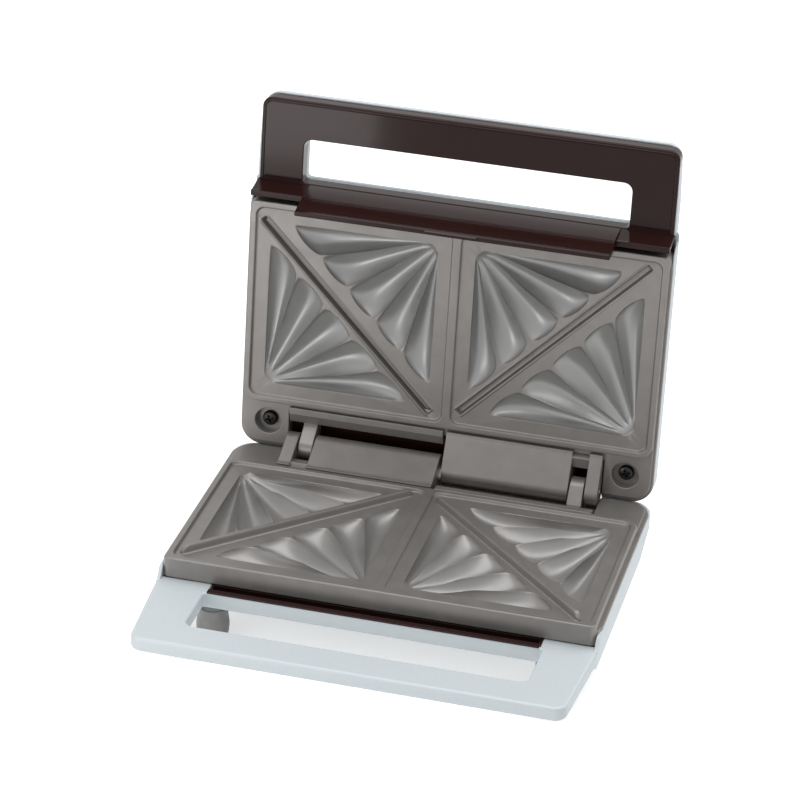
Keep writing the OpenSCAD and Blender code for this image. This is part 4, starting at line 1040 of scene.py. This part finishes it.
def screw(skin, x, y, seat, up, head_r, head_h, length):
    """Cross-head screw; up is 1 when its head looks up and -1 when it looks down."""
    shank = 1.27
    end = head_h + length
    line = [(0, 0), (head_r * 0.3, 0), (head_r * 0.62, 0.03), (head_r * 0.85, 0.16 * head_h),
        (head_r * 0.97, 0.45 * head_h), (head_r, 0.75 * head_h), (head_r, head_h),
        (shank, head_h), (shank, end - 0.8), (shank * 0.4, end), (0, end)]
    body = Skin()
    body.turned(line, (0, 0, 0))
    arms = []
    for turn in (0.35, math.pi / 2 + 0.35):
        c, s = math.cos(turn), math.sin(turn)
        rows = []
        for z, along, across in ((-1.0, 1, 1), (0.02, 1, 1), (head_h * 0.62, 0.5, 0.7)):
            loop = wide_loop(head_r * 0.56 * along, -head_r * 0.13 * across, head_r * 0.13 * across)
            rows.append([(u * c - v * s, u * s + v * c, z) for u, v in loop])
        arm = Skin()
        arm.grid(rows)
        for row in (rows[0], rows[-1]):
            arm.add(row, [[0, 1, 2, 3]])
        arms.append(arm)
    done = cut(body, arms)
    skin.add([(x + p[0], y + p[1] * up, seat + up * (head_h - p[2])) for p in done.points], done.faces)


screws = Skin()
for side in (1, -1):
    screw(screws, side * EAR_X, EAR_Y, -PLATE_T + 3, 1, 4.5, 3, 11)
piece("hinge_ear_screws", screws, IN_LID, "lid", "black_steel", "upper_plate_screws")

screws = Skin()
for side in (1, -1):
    for y in BOSSES:
        screw(screws, side * BOSS_X, y, -BELLY + 2.4, -1, 3.2, 2.2, 14)
piece("casing_screws", screws, IN_BASE, "base", "plated_steel", "base_screws")

lens_face, lens_top = -BELLY - CROWN - 0.8, -BELLY + WALL
lens = [(0, lens_face), (2.2, lens_face + 0.05), (3.4, lens_face + 0.22), (4.1, lens_face + 0.6),
    (LENS_R, lens_face + 1.2), (LENS_R, lens_top), (LENS_R + 1.5, lens_top),
    (LENS_R + 1.5, lens_top + 2), (0, lens_top + 2)]
for name, side, slot in (("power", -1, "red_lens"), ("ready", 1, "green_lens")):
    skin = Skin()
    skin.turned(lens, (side * LENS_X, LENS_Y, 0), n=44)
    piece(f"{name}_window", skin, IN_LID, "lid", slot, f"{name}_lens")

# ---- room, lights and camera, in metres ----

scene = bpy.context.scene
scene.view_settings.view_transform = "Standard"


def seen_strength(tree, plain, seen, socket):
    """A strength for light on the object, and another for what the camera and the mirrors see."""
    path = tree.nodes.new("ShaderNodeLightPath")
    last = path.outputs["Is Camera Ray"]
    for name in ("Is Glossy Ray", "Is Transmission Ray"):
        most = tree.nodes.new("ShaderNodeMath")
        most.operation = "MAXIMUM"
        tree.links.new(last, most.inputs[0])
        tree.links.new(path.outputs[name], most.inputs[1])
        last = most.outputs[0]
    span(tree, last, plain, seen, socket)


mesh = bpy.data.meshes.new("floor")
mesh.from_pydata([(-6, -5, 0), (6, -5, 0), (6, 9, 0), (-6, 9, 0)], [], [(0, 1, 2, 3)])
floor = bpy.data.objects.new("floor", mesh)
scene.collection.objects.link(floor)
floor_paint = bpy.data.materials.new("floor_paint")
floor_paint.use_nodes = True
paint = floor_paint.node_tree.nodes["Principled BSDF"].inputs
paint["Base Color"].default_value = (0.94, 0.94, 0.94, 1)
paint["Roughness"].default_value = 0.9
paint["Emission Color"].default_value = (1, 1, 1, 1)
seen_strength(floor_paint.node_tree, 0, 0.5, paint["Emission Strength"])
mesh.materials.append(floor_paint)

world = bpy.data.worlds.new("studio")
world.use_nodes = True
background = world.node_tree.nodes["Background"].inputs
background["Color"].default_value = (1, 1, 1, 1)
seen_strength(world.node_tree, 0.34, 1, background["Strength"])
scene.world = world


def lamp(name, place, target, size, power):
    """A soft rectangular light of a size in metres and a power in watts, aimed at a target."""
    data = bpy.data.lights.new(name, "AREA")
    data.shape = "RECTANGLE"
    data.size, data.size_y = size
    data.energy = power
    obj = bpy.data.objects.new(name, data)
    obj.location = place
    obj.rotation_euler = (Vector(target) - Vector(place)).to_track_quat("-Z", "Y").to_euler()
    scene.collection.objects.link(obj)


lamp("top", (0.0, -0.1, 1.7), (0, 0, 0.1), (1.9, 1.5), 19)
lamp("back", (0.8, 0.9, 1.3), (0, 0, 0.1), (0.9, 0.9), 6)
lamp("fill", (-0.37, -0.6, 0.11), (-0.05, 0.05, 0.17), (0.3, 0.2), 0.95)

# camera: place, tilt up from straight down, roll, and turn to the left
CAMERA_PLACE = (0.384895, -1.658371, 1.009614)
CAMERA_TILT, CAMERA_ROLL, CAMERA_TURN = 62.782366, -2.257685, 14.361095
cam_data = bpy.data.cameras.new("camera")
cam_data.sensor_width = 36
cam_data.lens = 157.15
cam = bpy.data.objects.new("camera", cam_data)
angles = Euler([math.radians(a) for a in (CAMERA_TILT, CAMERA_ROLL, CAMERA_TURN)])
cam.matrix_world = Matrix.Translation(CAMERA_PLACE) @ angles.to_matrix().to_4x4()
scene.collection.objects.link(cam)
scene.camera = cam
